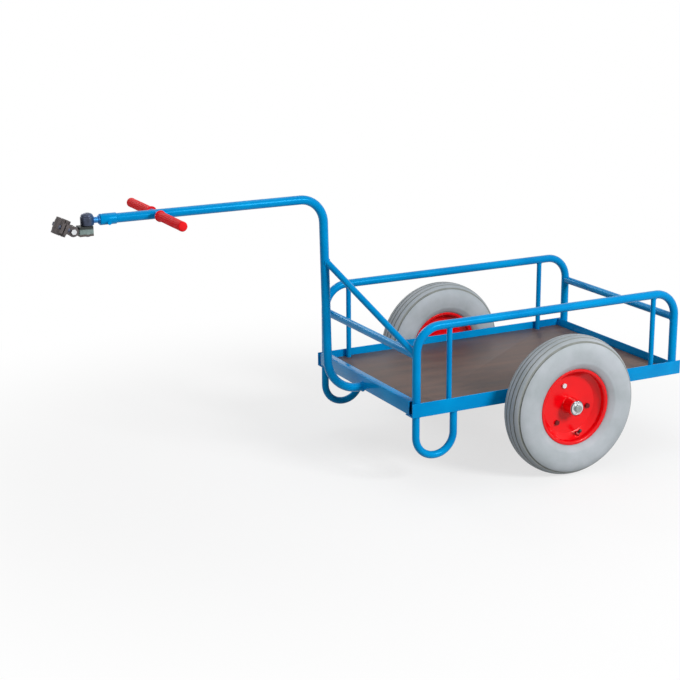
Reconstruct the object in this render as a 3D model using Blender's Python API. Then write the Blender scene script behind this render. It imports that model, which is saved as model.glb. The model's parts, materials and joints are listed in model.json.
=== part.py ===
"""Two-wheeled bicycle trailer: a welded tubular load frame with a recessed plywood deck,
a goose-neck drawbar with a cross handle, a seat-post hitch that rolls, turns and tilts,
and two red barrow wheels with pneumatic tyres.

Metres, +Z up. The trailer's front points along -X and its left side along -Y.
All places are measured from the ground point under the middle of the axle, and the datum
empty moves that point so that the origin lies under the middle of the whole trailer.
"""
import math

import bmesh
import bpy
from mathutils import Matrix, Vector

# Datum: how far the axle lies behind the middle of the whole trailer
AXLE_X = 0.451
GAP = 0.0003
OVERCUT = 0.010
SIDES = {"left": -1, "right": 1}

# Load frame
ANGLE_FRONT_X = -0.462
ANGLE_REAR_X = 0.441
ANGLE_LEG = 0.040
ANGLE_WALL = 0.003
POST_RADIUS = 0.012
POST_FRONT_X = -0.442
POST_REAR_X = 0.421
RAIL_Y = 0.275
RAIL_Z = 0.456
RAIL_BEND = 0.070
BAR_RADIUS = 0.0075
BAR_LONG_OFFSET = 0.102
BAR_SHORT_OFFSET = 0.0775
CROSS_RADIUS = 0.011
CROSS_Z = 0.380
BEAM_WIDTH = 0.025
BEAM_HEIGHT = 0.040
BEAM_WALL = 0.002
BEAM_CORNER = 0.004

# Deck board
DECK_THICKNESS = 0.015
DECK_REAR_X = 0.401
DECK_EDGE_PLAY = 0.0015

# Front feet
FOOT_RADIUS = 0.0105
FOOT_FRONT_X = -0.444
FOOT_LENGTH = 0.118
FOOT_Y = 0.277
FOOT_BOTTOM_Z = 0.092
FOOT_BEND = 0.0585

# Axle and hubs
WHEEL_RADIUS = 0.200
WHEEL_Y = 0.356
AXLE_BAR = 0.020
AXLE_TIP = 0.006
SPIGOT_RADIUS = 0.0097
HUB_HALF_LENGTH = 0.040
HUB_RADIUS = 0.0235
BEARING_RADIUS = 0.021
BEARING_WIDTH = 0.012
BEARING_INSET = 0.0005
WASHER_RADIUS = 0.0185
WASHER_THICKNESS = 0.003
SPLIT_PIN_RADIUS = 0.0018
SPLIT_PIN_HALF_LENGTH = 0.0125
SPLIT_PIN_LEG = 0.006
SPLIT_PIN_EYE_RADIUS = 0.0038
SPLIT_PIN_WIRE = 0.0013

# Tyres and rims
WHEEL_SIDES = 28
TYRE_HALF_WIDTH = 0.0473
TYRE_CENTRE_RADIUS = 0.155
TYRE_WALL_DROP = 0.0546
TYRE_SQUARENESS = 0.85
RIM_SHEET = 0.002
RIM_FLANGE_RADIUS = 0.1095
RIM_FLANGE_FACE = 0.0296
RIM_SEAT_RADIUS = 0.1015
RIM_SEAT_DEPTH = 0.0140
RIM_DISC_RADIUS = 0.0840
RIM_BOLT_CIRCLE = 0.0615
RIM_BOLT_FIRST_ANGLE = math.radians(109)
RIM_BOLTS = 3
VALVE_ANGLE = math.radians(-73)
VALVE_HOLE = 0.0062

# Drawbar, braces and handle
DRAWBAR_RADIUS = 0.0125
DRAWBAR_FOOT_Z = 0.223
DRAWBAR_FOOT_CORNER_X = -0.570
DRAWBAR_TOP_CORNER_X = -0.5817
DRAWBAR_Z = 0.7775
DRAWBAR_FRONT_X = -1.215
DRAWBAR_FOOT_BEND = 0.095
DRAWBAR_TOP_BEND = 0.070
DRAWBAR_BEND_STEPS = 6
SLEEVE_RADIUS = 0.0147
SLEEVE_LENGTH = 0.042
BRACE_RADIUS = 0.009
BRACE_TOP_Z = 0.605
HANDLE_X = -1.063
HANDLE_RADIUS = 0.009
HANDLE_HALF_LENGTH = 0.195
GRIP_RADIUS = 0.0125
GRIP_INNER_Y = 0.033
GRIP_END = 0.005
GRIP_COLLAR = 0.0025

# Hitch: tongue, kingpin and block
SHANK_RADIUS = 0.008
SHANK_LENGTH = 0.065
SHANK_GROOVE = 0.0035
TONGUE_COLLAR_RADIUS = 0.0115
TONGUE_NECK_RADIUS = 0.0078
KINGPIN_X = -1.248
KINGPIN_RADIUS = 0.006
KINGPIN_RING_RADIUS = 0.0095
KINGPIN_RING_HEIGHT = 0.0015
KINGPIN_STUB = 0.0015
BOSS_RADIUS = 0.0175
BOSS_HALF_HEIGHT = 0.0115
BOSS_EDGE = 0.0025
DOME_RADIUS = 0.0155
DOME_HEIGHT = 0.0085
BLOCK_TOP_Z = 0.765
BLOCK_BOTTOM_Z = 0.740
BLOCK_BACK = 0.0115
BLOCK_FRONT = 0.0248
BLOCK_HALF_WIDTH = 0.015
BLOCK_EDGE = 0.003
NOSE_RADIUS = 0.0105
NOSE_HALF_HEIGHT = 0.0085
NOSE_HALF_WIDTH = 0.006
PITCH_X = -1.289
PITCH_Z = 0.7552

# Hitch: seat-post clamp
CLAMP_LEAN = math.radians(25)
CLAMP_REACH = 0.0308
SEAT_POST_RADIUS = 0.0135
CLAMP_RADIUS = 0.019
CLAMP_HEIGHT = 0.042
CLAMP_SPLIT = 0.0015
EAR_THICKNESS = 0.008
EAR_HALF_SPAN = 0.033
EAR_HEIGHT = 0.026
CLAMP_BOLT_Y = 0.0255
LUG_RADIUS = 0.0135
LUG_HALF_HEIGHT = 0.0115
LUG_ROOT = 0.010
LUG_SLOT_HALF = 0.0065
LUG_SLOT_FLOOR = 0.0115

# Bolts, and the radius of the hole that each one passes through
M6 = {"diameter": 0.006, "across_flats": 0.010, "head": 0.004, "nut": 0.005}
M8 = {"diameter": 0.008, "across_flats": 0.013, "head": 0.0053, "nut": 0.0065}
M6_HOLE = 0.0034
M8_HOLE = 0.0046
BOLT_STUB = 0.0025

# Levels and widths that follow from the driving dimensions
FRAME_BOTTOM_Z = WHEEL_RADIUS + AXLE_BAR / 2 + GAP
FRAME_TOP_Z = FRAME_BOTTOM_Z + ANGLE_LEG
LEDGE_Z = FRAME_BOTTOM_Z + ANGLE_WALL
SEAT_Z = LEDGE_Z + GAP
LEG_INNER_Y = RAIL_Y + POST_RADIUS + GAP
FRAME_HALF_WIDTH = LEG_INNER_Y + ANGLE_WALL
REAR_ANGLE_X = POST_REAR_X - POST_RADIUS - GAP
DECK_FRONT_X = ANGLE_FRONT_X + BEAM_WIDTH + 0.001
DECK_HALF_WIDTH = LEG_INNER_Y - DECK_EDGE_PLAY
AXLE_SHOULDER_Y = WHEEL_Y - HUB_HALF_LENGTH - GAP
SPLIT_PIN_Y = WHEEL_Y + HUB_HALF_LENGTH + WASHER_THICKNESS + 3 * GAP + SPLIT_PIN_RADIUS
RETAINER_X = DRAWBAR_FRONT_X + SLEEVE_LENGTH / 2
RETAINER_Z = DRAWBAR_Z - SHANK_RADIUS
YAW_Z = (BLOCK_TOP_Z + BLOCK_BOTTOM_Z) / 2

# Finishes: colour, roughness and metallic value
FRAME_PAINT = ("0070BE", 0.35, 0.0)
RIM_PAINT = ("C8101C", 0.3, 0.0)
ZINC = ("C4C8CC", 0.3, 1.0)
DARK_STEEL = ("4A5258", 0.4, 0.7)
CAST_IRON = ("5C6660", 0.5, 0.5)
CLAMP_IRON = ("3E464C", 0.5, 0.5)
BEARING_STEEL = ("8E9296", 0.25, 1.0)
PLYWOOD = ("6E625C", 0.6, 0.0)
TYRE_RUBBER = ("B7BCC2", 0.7, 0.0)
TUBE_RUBBER = ("2A2A2C", 0.6, 0.0)
GRIP_PLASTIC = ("D62A2E", 0.55, 0.0)


def clear_scene():
    for item in list(bpy.data.objects):
        bpy.data.objects.remove(item, do_unlink=True)


def linear(channel):
    value = channel / 255
    return value / 12.92 if value <= 0.04045 else ((value + 0.055) / 1.055) ** 2.4


def make_material(name, finish):
    colour, roughness, metallic = finish
    material = bpy.data.materials.new(name)
    material.use_nodes = True
    shader = material.node_tree.nodes["Principled BSDF"]
    rgb = [linear(int(colour[i:i + 2], 16)) for i in (0, 2, 4)]
    shader.inputs["Base Color"].default_value = (*rgb, 1.0)
    shader.inputs["Roughness"].default_value = roughness
    shader.inputs["Metallic"].default_value = metallic
    return material


def make_empty(name, location, parent=None):
    empty = bpy.data.objects.new(name, None)
    bpy.context.collection.objects.link(empty)
    empty.location = location
    empty.parent = parent
    return empty


def add_object(name, bm, finish, parent=None, location=(0, 0, 0)):
    """Turn the mesh data into a named, smooth-shaded object with a material of its own."""
    bmesh.ops.recalc_face_normals(bm, faces=bm.faces)
    mesh = bpy.data.meshes.new(name)
    bm.to_mesh(mesh)
    bm.free()
    mesh.shade_smooth()
    mesh.set_sharp_from_angle(angle=math.radians(35))
    item = bpy.data.objects.new(name, mesh)
    bpy.context.collection.objects.link(item)
    item.data.materials.append(make_material(name + "_finish", finish))
    item.parent = parent or DATUM
    item.location = location
    return item


def add_tool(target, bm, operation="DIFFERENCE"):
    """Cut the shape out of the target, or weld it on, with an exact Boolean.
    The shape is given in the target's own coordinates."""
    bmesh.ops.recalc_face_normals(bm, faces=bm.faces)
    mesh = bpy.data.meshes.new(target.name + "_tool")
    bm.to_mesh(mesh)
    bm.free()
    tool = bpy.data.objects.new(target.name + "_tool", mesh)
    bpy.context.collection.objects.link(tool)
    tool.parent = target
    tool.hide_render = True
    tool.display_type = "WIRE"
    modifier = target.modifiers.new(operation.lower(), "BOOLEAN")
    modifier.operation = operation
    modifier.object = tool


def strip_cap(bm, ring, start):
    """Close a ring with strips from one point to the opposite one, as a coped end is ruled."""
    count = len(ring)
    for k in range(count // 2):
        corners = [ring[(start + k) % count], ring[(start + k + 1) % count],
                   ring[(start - k - 1) % count], ring[(start - k) % count]]
        bm.faces.new(list(dict.fromkeys(corners)))


def loft(stations, closed=False, cope_start=None):
    """Skin a run of equal rings of points. Open runs are capped, closed runs join end to end."""
    bm = bmesh.new()
    rings = [[bm.verts.new(point) for point in station] for station in stations]
    pairs = list(zip(rings, rings[1:]))
    if closed:
        pairs.append((rings[-1], rings[0]))
    for first, second in pairs:
        for i in range(len(first)):
            j = (i + 1) % len(first)
            bm.faces.new((first[i], first[j], second[j], second[i]))
    for ring in [] if closed else (rings[0], rings[-1]):
        if cope_start is None:
            bm.faces.new(ring)
        else:
            strip_cap(bm, ring, cope_start)
    return bm


def circle(radius, sides):
    turn = 2 * math.pi / sides
    return [(radius * math.cos(i * turn), radius * math.sin(i * turn)) for i in range(sides)]


def square(half, sides):
    """A square with as many points as a circle, so that a round section can meet it."""
    points = []
    for a, b in circle(1.0, sides):
        scale = half / max(abs(a), abs(b))
        points.append((a * scale, b * scale))
    return points


def rounded_rectangle(width, height, corner, steps=2):
    points = []
    for k, (sx, sy) in enumerate(((1, 1), (-1, 1), (-1, -1), (1, -1))):
        for i in range(steps + 1):
            angle = (k + i / steps) * math.pi / 2
            points.append((sx * (width / 2 - corner) + corner * math.cos(angle),
                           sy * (height / 2 - corner) + corner * math.sin(angle)))
    return points


def turned(profile, sides, axis="Z", closed=False):
    """Revolve (radius, height) points about a local axis."""
    place = {
        "X": lambda h, a, b: Vector((h, a, b)),
        "Y": lambda h, a, b: Vector((b, h, a)),
        "Z": lambda h, a, b: Vector((a, b, h)),
    }[axis]
    stations = [[place(height, a, b) for a, b in circle(radius, sides)] for radius, height in profile]
    return loft(stations, closed)


def stepped_rod(steps):
    """A straight rod along local Z from (height, section) pairs of equal point counts."""
    return loft([[Vector((a, b, height)) for a, b in section] for height, section in steps])


def placed(bm, matrix):
    bmesh.ops.transform(bm, matrix=matrix, verts=bm.verts)
    return bm


def box(low, high):
    bm = bmesh.new()
    bmesh.ops.create_cube(bm, size=1.0)
    size = Vector(high) - Vector(low)
    middle = (Vector(high) + Vector(low)) / 2
    return placed(bm, Matrix.Translation(middle) @ Matrix.Diagonal((*size, 1.0)))


def side_box(side, x_range, y_range, z_range):
    """A box whose widths across the trailer are counted outward from the middle."""
    low_y, high_y = sorted(side * y for y in y_range)
    return box((x_range[0], low_y, z_range[0]), (x_range[1], high_y, z_range[1]))


def rod_between(start, end, radius, sides):
    start = Vector(start)
    direction = Vector(end) - start
    bm = turned([(radius, 0.0), (radius, direction.length)], sides)
    return placed(bm, Matrix.Translation(start) @ direction.to_track_quat("Z", "Y").to_matrix().to_4x4())


def drill(item, x, z, half_length, radius, sides):
    """Bore a hole straight across the trailer, along Y, through a place given in XZ."""
    add_tool(item, rod_between((x, -half_length, z), (x, half_length, z), radius, sides))


def extruded(outline, place, low, high):
    """Extrude a flat outline; place(u, v, w) puts a point at height w over the outline's plane."""
    return loft([[place(u, v, w) for u, v in outline] for w in (low, high)])


def bent_path(corners, radii, steps):
    """A polyline whose inner corners are replaced by arcs of the given radii."""
    points = [corners[0]]
    for before, corner, after, radius in zip(corners, corners[1:], corners[2:], radii):
        back = (before - corner).normalized()
        ahead = (after - corner).normalized()
        half = back.angle(ahead) / 2
        centre = corner + (back + ahead).normalized() * (radius / math.sin(half))
        start = corner + back * (radius / math.tan(half)) - centre
        end = corner + ahead * (radius / math.tan(half)) - centre
        sweep = start.angle(end)
        for i in range(steps + 1):
            t = i / steps
            arm = (start * math.sin((1 - t) * sweep) + end * math.sin(t * sweep)) / math.sin(sweep)
            points.append(centre + arm)
    points.append(corners[-1])
    return points


def bent_tube(path, radius, sides):
    """Sweep a round section along a path that lies in the XZ plane."""
    stations = []
    for i, point in enumerate(path):
        ahead = path[min(i + 1, len(path) - 1)] - point
        back = point - path[max(i - 1, 0)]
        tangent = (ahead.normalized() + back.normalized()).normalized()
        normal = tangent.cross(Vector((0, 1, 0)))
        stations.append([point + normal * a + Vector((0, b, 0)) for a, b in circle(radius, sides)])
    return loft(stations)


def cope_to_post(item, side, low_z, high_z):
    """Hollow out what meets a front post, so that the end fits round the tube."""
    reach = POST_RADIUS + 2 * GAP
    post = turned([(reach, low_z), (reach, high_z)], 20)
    add_tool(item, placed(post, Matrix.Translation((POST_FRONT_X, side * RAIL_Y, 0))))


def side_angle(name, side):
    """Rolled angle: the upright leg is the frame's outer face, the flat leg carries the deck."""
    outer = side * FRAME_HALF_WIDTH
    wall = -side * ANGLE_WALL
    leg = -side * ANGLE_LEG
    outline = [(outer, FRAME_BOTTOM_Z), (outer, FRAME_TOP_Z), (outer + wall, FRAME_TOP_Z),
               (outer + wall, LEDGE_Z), (outer + leg, LEDGE_Z), (outer + leg, FRAME_BOTTOM_Z)]
    bm = extruded(outline, lambda u, v, w: Vector((w, u, v)), ANGLE_FRONT_X, ANGLE_REAR_X)
    add_object(name, bm, FRAME_PAINT)


def front_beam():
    """Rectangular tube on the angles' flat legs, its ends coped to the two front posts."""
    middle_x = ANGLE_FRONT_X + BEAM_WIDTH / 2
    middle_z = SEAT_Z + BEAM_HEIGHT / 2
    outer = rounded_rectangle(BEAM_WIDTH, BEAM_HEIGHT, BEAM_CORNER)
    inner = rounded_rectangle(BEAM_WIDTH - 2 * BEAM_WALL, BEAM_HEIGHT - 2 * BEAM_WALL,
                              BEAM_CORNER - BEAM_WALL)
    end = RAIL_Y - POST_RADIUS / 2
    stations = [[Vector((middle_x + u, y, middle_z + v)) for u, v in section]
                for y, section in ((-end, outer), (end, outer), (end, inner), (-end, inner))]
    item = add_object("front_beam", loft(stations, closed=True), FRAME_PAINT)
    for side in SIDES.values():
        cope_to_post(item, side, SEAT_Z - OVERCUT, SEAT_Z + BEAM_HEIGHT + OVERCUT)


def rear_angle():
    """Angle across the rear, its flat leg cut back to butt between the side angles."""
    back = REAR_ANGLE_X
    outline = [(back, FRAME_BOTTOM_Z), (back, FRAME_TOP_Z), (back - ANGLE_WALL, FRAME_TOP_Z),
               (back - ANGLE_WALL, LEDGE_Z), (back - ANGLE_LEG, LEDGE_Z), (back - ANGLE_LEG, FRAME_BOTTOM_Z)]
    end = LEG_INNER_Y - GAP
    bm = extruded(outline, lambda u, v, w: Vector((u, w, v)), -end, end)
    item = add_object("rear_angle", bm, FRAME_PAINT)
    for side in SIDES.values():
        add_tool(item, side_box(side, (back - ANGLE_LEG - OVERCUT, back + OVERCUT),
                                (FRAME_HALF_WIDTH - ANGLE_LEG - GAP, end + OVERCUT),
                                (FRAME_BOTTOM_Z - OVERCUT, SEAT_Z)))


def bar_places(side):
    """Both side rails are the same weldment, one turned end for end."""
    if side < 0:
        return {"front": POST_FRONT_X + BAR_LONG_OFFSET, "rear": POST_REAR_X - BAR_SHORT_OFFSET}
    return {"front": POST_FRONT_X + BAR_SHORT_OFFSET, "rear": POST_REAR_X - BAR_LONG_OFFSET}


def deck_board():
    """Plywood board on the frame's ledges, notched round the front posts and the thin bars."""
    top = SEAT_Z + DECK_THICKNESS
    board = box((DECK_FRONT_X, -DECK_HALF_WIDTH, SEAT_Z), (DECK_REAR_X, DECK_HALF_WIDTH, top))
    item = add_object("deck_board", board, PLYWOOD)
    for side in SIDES.values():
        uprights = [(POST_FRONT_X, POST_RADIUS)] + [(x, BAR_RADIUS) for x in bar_places(side).values()]
        for x, radius in uprights:
            reach = radius + DECK_EDGE_PLAY
            add_tool(item, side_box(side, (x - reach, x + reach), (RAIL_Y - reach, DECK_HALF_WIDTH + OVERCUT),
                                    (SEAT_Z - OVERCUT, top + OVERCUT)))


def side_rail(name, side):
    """Inverted-U tube whose posts stand on the flat leg, inside the upright leg."""
    corners = [Vector((POST_FRONT_X, 0, SEAT_Z)), Vector((POST_FRONT_X, 0, RAIL_Z)),
               Vector((POST_REAR_X, 0, RAIL_Z)), Vector((POST_REAR_X, 0, SEAT_Z))]
    path = bent_path(corners, (RAIL_BEND, RAIL_BEND), 5)
    add_object(name, bent_tube(path, POST_RADIUS, 14), FRAME_PAINT, location=(0, side * RAIL_Y, 0))


def rail_bar(name, x, side):
    """Thin upright from the flat leg to the rail, its top coped to the rail's underside."""
    section = circle(BAR_RADIUS, 12)
    reach = POST_RADIUS + GAP
    foot = [Vector((a, b, SEAT_Z)) for a, b in section]
    head = [Vector((a, b, RAIL_Z - math.sqrt(reach ** 2 - b ** 2))) for a, b in section]
    bm = loft([foot, head], cope_start=len(section) // 4)
    add_object(name, bm, FRAME_PAINT, location=(x, side * RAIL_Y, 0))


def cross_tube(name, x):
    """Level tube between two posts, both ends coped to them."""
    section = circle(CROSS_RADIUS, 16)
    reach = POST_RADIUS + GAP
    stations = [[Vector((a, side * (RAIL_Y - math.sqrt(reach ** 2 - a ** 2)), b)) for a, b in section]
                for side in (-1, 1)]
    add_object(name, loft(stations, cope_start=0), FRAME_PAINT, location=(x, 0, CROSS_Z))


def foot_loop(name, side):
    """U-bent tube under the front of the side angle, which the parked trailer leans on."""
    top = FRAME_BOTTOM_Z - GAP
    rear_x = FOOT_FRONT_X + FOOT_LENGTH
    corners = [Vector((FOOT_FRONT_X, 0, top)), Vector((FOOT_FRONT_X, 0, FOOT_BOTTOM_Z)),
               Vector((rear_x, 0, FOOT_BOTTOM_Z)), Vector((rear_x, 0, top))]
    path = bent_path(corners, (FOOT_BEND, FOOT_BEND), 5)
    add_object(name, bent_tube(path, FOOT_RADIUS, 12), FRAME_PAINT, location=(0, side * FOOT_Y, 0))


def axle_beam():
    """Square bar under the frame with round spigots turned on its ends."""
    sides = 16
    tip = SPLIT_PIN_Y + AXLE_TIP
    spigot = circle(SPIGOT_RADIUS, sides)
    bar = square(AXLE_BAR / 2, sides)
    rod = stepped_rod([(-tip, spigot), (-AXLE_SHOULDER_Y, spigot), (-AXLE_SHOULDER_Y, bar),
                       (AXLE_SHOULDER_Y, bar), (AXLE_SHOULDER_Y, spigot), (tip, spigot)])
    item = add_object("axle_beam", placed(rod, Matrix.Rotation(math.pi / 2, 4, "X")), FRAME_PAINT,
                      location=(0, 0, WHEEL_RADIUS))
    for side in SIDES.values():
        y = side * SPLIT_PIN_Y
        add_tool(item, rod_between((0, y, -0.02), (0, y, 0.02), SPLIT_PIN_RADIUS + 2 * GAP, 8))


def drawbar_path():
    corners = [Vector((ANGLE_FRONT_X - GAP, 0, DRAWBAR_FOOT_Z)),
               Vector((DRAWBAR_FOOT_CORNER_X, 0, DRAWBAR_FOOT_Z)),
               Vector((DRAWBAR_TOP_CORNER_X, 0, DRAWBAR_Z)),
               Vector((DRAWBAR_FRONT_X, 0, DRAWBAR_Z))]
    return bent_path(corners, (DRAWBAR_FOOT_BEND, DRAWBAR_TOP_BEND), DRAWBAR_BEND_STEPS)


def drawbar():
    """Goose-neck tube, bored at the front for the swivel and cross-drilled for the handle."""
    item = add_object("drawbar", bent_tube(drawbar_path(), DRAWBAR_RADIUS, 16), FRAME_PAINT)
    mouth = (DRAWBAR_FRONT_X - OVERCUT, 0, DRAWBAR_Z)
    floor = (DRAWBAR_FRONT_X + SHANK_LENGTH + 0.005, 0, DRAWBAR_Z)
    add_tool(item, rod_between(mouth, floor, SHANK_RADIUS + GAP, 16))
    drill(item, HANDLE_X, DRAWBAR_Z, DRAWBAR_RADIUS + OVERCUT, HANDLE_RADIUS + GAP, 16)
    drill(item, RETAINER_X, RETAINER_Z, DRAWBAR_RADIUS + OVERCUT, M6_HOLE, 8)


def drawbar_sleeve():
    """Collar that stiffens the drawbar's mouth, drilled for the bolt that holds the swivel."""
    inner = DRAWBAR_RADIUS + GAP
    rear = DRAWBAR_FRONT_X + SLEEVE_LENGTH
    front = DRAWBAR_FRONT_X
    profile = [(inner, front), (SLEEVE_RADIUS, front), (SLEEVE_RADIUS, rear), (inner, rear)]
    ring = placed(turned(profile, 16, "X", closed=True), Matrix.Translation((0, 0, DRAWBAR_Z)))
    item = add_object("drawbar_sleeve", ring, FRAME_PAINT)
    drill(item, RETAINER_X, RETAINER_Z, SLEEVE_RADIUS + OVERCUT, M6_HOLE, 8)


def bolt(grip, size):
    """Hexagon bolt with its nut: the grip runs from z=0 to z=grip, and the head is below."""
    shank = circle(size["diameter"] / 2, 6)
    hexagon = circle(size["across_flats"] / 2 / math.cos(math.pi / 6), 6)
    nut_face = grip + size["nut"]
    return stepped_rod([(-size["head"], hexagon), (0.0, hexagon), (0.0, shank), (grip, shank),
                        (grip, hexagon), (nut_face, hexagon), (nut_face, shank),
                        (nut_face + BOLT_STUB, shank)])


def crosswise_bolt(x, z, half_grip, size):
    """A bolt across the trailer, along Y, with its head on the left."""
    turn = Matrix.Translation((x, -half_grip, z)) @ Matrix.Rotation(-math.pi / 2, 4, "X")
    return placed(bolt(2 * half_grip, size), turn)


def tongue_bolt():
    """Retaining bolt that crosses under the shank, through the groove turned in it."""
    add_object("tongue_bolt", crosswise_bolt(RETAINER_X, RETAINER_Z, SLEEVE_RADIUS, M6), ZINC)


def brace(name, side):
    """Straight tube from the drawbar to where the cross tube meets a front post, coped to all three."""
    path = drawbar_path()
    low = path[DRAWBAR_BEND_STEPS + 1]
    high = path[DRAWBAR_BEND_STEPS + 2]
    start = low.lerp(high, (BRACE_TOP_Z - low.z) / (high.z - low.z))
    end = Vector((POST_FRONT_X, side * RAIL_Y, CROSS_Z))
    item = add_object(name, rod_between(start, end, BRACE_RADIUS, 14), FRAME_PAINT)
    add_tool(item, rod_between(low, high, DRAWBAR_RADIUS + 2 * GAP, 20))
    cope_to_post(item, side, CROSS_Z - 0.04, CROSS_Z + 0.04)
    cross_end = Vector((POST_FRONT_X, 0, CROSS_Z))
    add_tool(item, rod_between(cross_end, end, CROSS_RADIUS + 2 * GAP, 20))


def handle_bar():
    end = HANDLE_HALF_LENGTH - GRIP_END
    bm = rod_between((HANDLE_X, -end, DRAWBAR_Z), (HANDLE_X, end, DRAWBAR_Z), HANDLE_RADIUS, 16)
    add_object("handle_bar", bm, FRAME_PAINT)


def handle_grip(name, side):
    """Moulded grip pushed over the bar: a closed cup with a collar at its mouth."""
    bore = HANDLE_RADIUS + GAP
    floor = HANDLE_HALF_LENGTH - GRIP_END + GAP
    collar = GRIP_RADIUS + GRIP_COLLAR
    profile = [(bore, floor), (bore, GRIP_INNER_Y), (collar, GRIP_INNER_Y),
               (collar, GRIP_INNER_Y + GRIP_COLLAR), (GRIP_RADIUS, GRIP_INNER_Y + 2 * GRIP_COLLAR),
               (GRIP_RADIUS, HANDLE_HALF_LENGTH - GRIP_COLLAR),
               (GRIP_RADIUS - GRIP_COLLAR, HANDLE_HALF_LENGTH)]
    mirrored = [(radius, side * y) for radius, y in profile]
    add_object(name, turned(mirrored, 14, "Y"), GRIP_PLASTIC, location=(HANDLE_X, 0, DRAWBAR_Z))


def swivel_tongue():
    """Turned shank that rolls in the drawbar, with a collar, a neck and a flat eye."""
    groove_rear = SLEEVE_LENGTH / 2 + SHANK_GROOVE
    groove_front = SLEEVE_LENGTH / 2 - SHANK_GROOVE
    root = SHANK_RADIUS - SHANK_GROOVE
    eye_x = KINGPIN_X - DRAWBAR_FRONT_X
    profile = [(SHANK_RADIUS, SHANK_LENGTH), (SHANK_RADIUS, groove_rear), (root, groove_rear),
               (root, groove_front), (SHANK_RADIUS, groove_front), (SHANK_RADIUS, -GAP),
               (TONGUE_COLLAR_RADIUS, -GAP), (TONGUE_COLLAR_RADIUS, -0.0035), (TONGUE_NECK_RADIUS, -0.005),
               (TONGUE_NECK_RADIUS, eye_x + BOSS_RADIUS / 2)]
    item = add_object("swivel_tongue", turned(profile, 12, "X"), DARK_STEEL, ROLL)
    half = BOSS_HALF_HEIGHT
    inner = BOSS_RADIUS - BOSS_EDGE
    boss = turned([(inner, -half), (BOSS_RADIUS, -half + BOSS_EDGE), (BOSS_RADIUS, half - BOSS_EDGE),
                   (inner, half)], 18)
    bore = KINGPIN_RADIUS + 2 * GAP
    hole = turned([(bore, -half - OVERCUT), (bore, half + OVERCUT)], 12)
    shift = Matrix.Translation((eye_x, 0, 0))
    add_tool(item, placed(boss, shift), "UNION")
    add_tool(item, placed(hole, shift))


def kingpin():
    """Dome-headed pin down through the eye and the block, with a retaining ring below."""
    sides = 12
    seat = BOSS_HALF_HEIGHT + GAP
    under = BLOCK_BOTTOM_Z - GAP - DRAWBAR_Z
    ring_end = under - KINGPIN_RING_HEIGHT
    rim_z = seat + 0.001
    dome = [(rim_z + DOME_HEIGHT * math.sin(a), circle(DOME_RADIUS * math.cos(a), sides))
            for a in (i * math.pi / 8 for i in (3, 2, 1, 0))]
    shank = circle(KINGPIN_RADIUS, sides)
    ring = circle(KINGPIN_RING_RADIUS, sides)
    stem = [(seat, circle(DOME_RADIUS, sides)), (seat, shank), (under, shank), (under, ring),
            (ring_end, ring), (ring_end, shank), (ring_end - KINGPIN_STUB, shank)]
    rod = stepped_rod(dome + stem)
    add_object("kingpin", rod, DARK_STEEL, YAW, location=(0, 0, DRAWBAR_Z - YAW_Z))


def eye_outline(radius, root_x, half_height):
    """An eye round the tilting axis, seen from the side, with its neck running to root_x."""
    facing = -math.copysign(1.0, root_x)
    opening = math.pi - math.asin(half_height / radius)
    steps = 10
    angles = [(2 * i / steps - 1) * opening for i in range(steps + 1)]
    arc = [(facing * radius * math.cos(a), radius * math.sin(a)) for a in angles]
    return [(root_x, half_height), (root_x, -half_height), *arc]


def hitch_block():
    """Block that turns on the kingpin, with a nose at the front for the clamp's fork."""
    back = BLOCK_BACK
    front = -BLOCK_FRONT
    eye_x = PITCH_X - KINGPIN_X
    eye_z = PITCH_Z - YAW_Z
    top = BLOCK_TOP_Z - YAW_Z
    bottom = BLOCK_BOTTOM_Z - YAW_Z
    outline = [(back, bottom), (back, top - BLOCK_EDGE), (back - BLOCK_EDGE, top),
               (front, top), (front, bottom)]
    bm = extruded(outline, lambda u, v, w: Vector((u, w, v)), -BLOCK_HALF_WIDTH, BLOCK_HALF_WIDTH)
    item = add_object("hitch_block", bm, CAST_IRON, YAW)
    nose = extruded(eye_outline(NOSE_RADIUS, front - eye_x + BLOCK_EDGE, NOSE_HALF_HEIGHT),
                    lambda u, v, w: Vector((eye_x + u, w, eye_z + v)), -NOSE_HALF_WIDTH, NOSE_HALF_WIDTH)
    add_tool(item, nose, "UNION")
    bore = KINGPIN_RADIUS + 2 * GAP
    add_tool(item, turned([(bore, bottom - OVERCUT), (bore, top + OVERCUT)], 12))
    drill(item, eye_x, eye_z, NOSE_HALF_WIDTH + OVERCUT, M8_HOLE, 12)


def pitch_pin():
    add_object("pitch_pin", crosswise_bolt(0, 0, BLOCK_HALF_WIDTH + GAP, M8), ZINC, PITCH)


def half_ring(sign, radius, start_x):
    """Half circle seen along the seat post, that stops short of the split by start_x."""
    steps = 8
    start = math.asin(start_x / radius)
    angles = [start + i * (math.pi - 2 * start) / steps for i in range(steps + 1)]
    return [(sign * radius * math.sin(a), radius * math.cos(a)) for a in angles]


def jaw_outline(sign):
    """Half ring with two bolting ears, seen along the seat post; sign +1 is the rear jaw."""
    split = CLAMP_SPLIT
    ear_back = split + EAR_THICKNESS
    points = half_ring(sign, SEAT_POST_RADIUS + GAP, split)
    points += [(sign * split, -EAR_HALF_SPAN), (sign * ear_back, -EAR_HALF_SPAN)]
    points += reversed(half_ring(sign, CLAMP_RADIUS, ear_back))
    points += [(sign * ear_back, EAR_HALF_SPAN), (sign * split, EAR_HALF_SPAN)]
    return points


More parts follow.
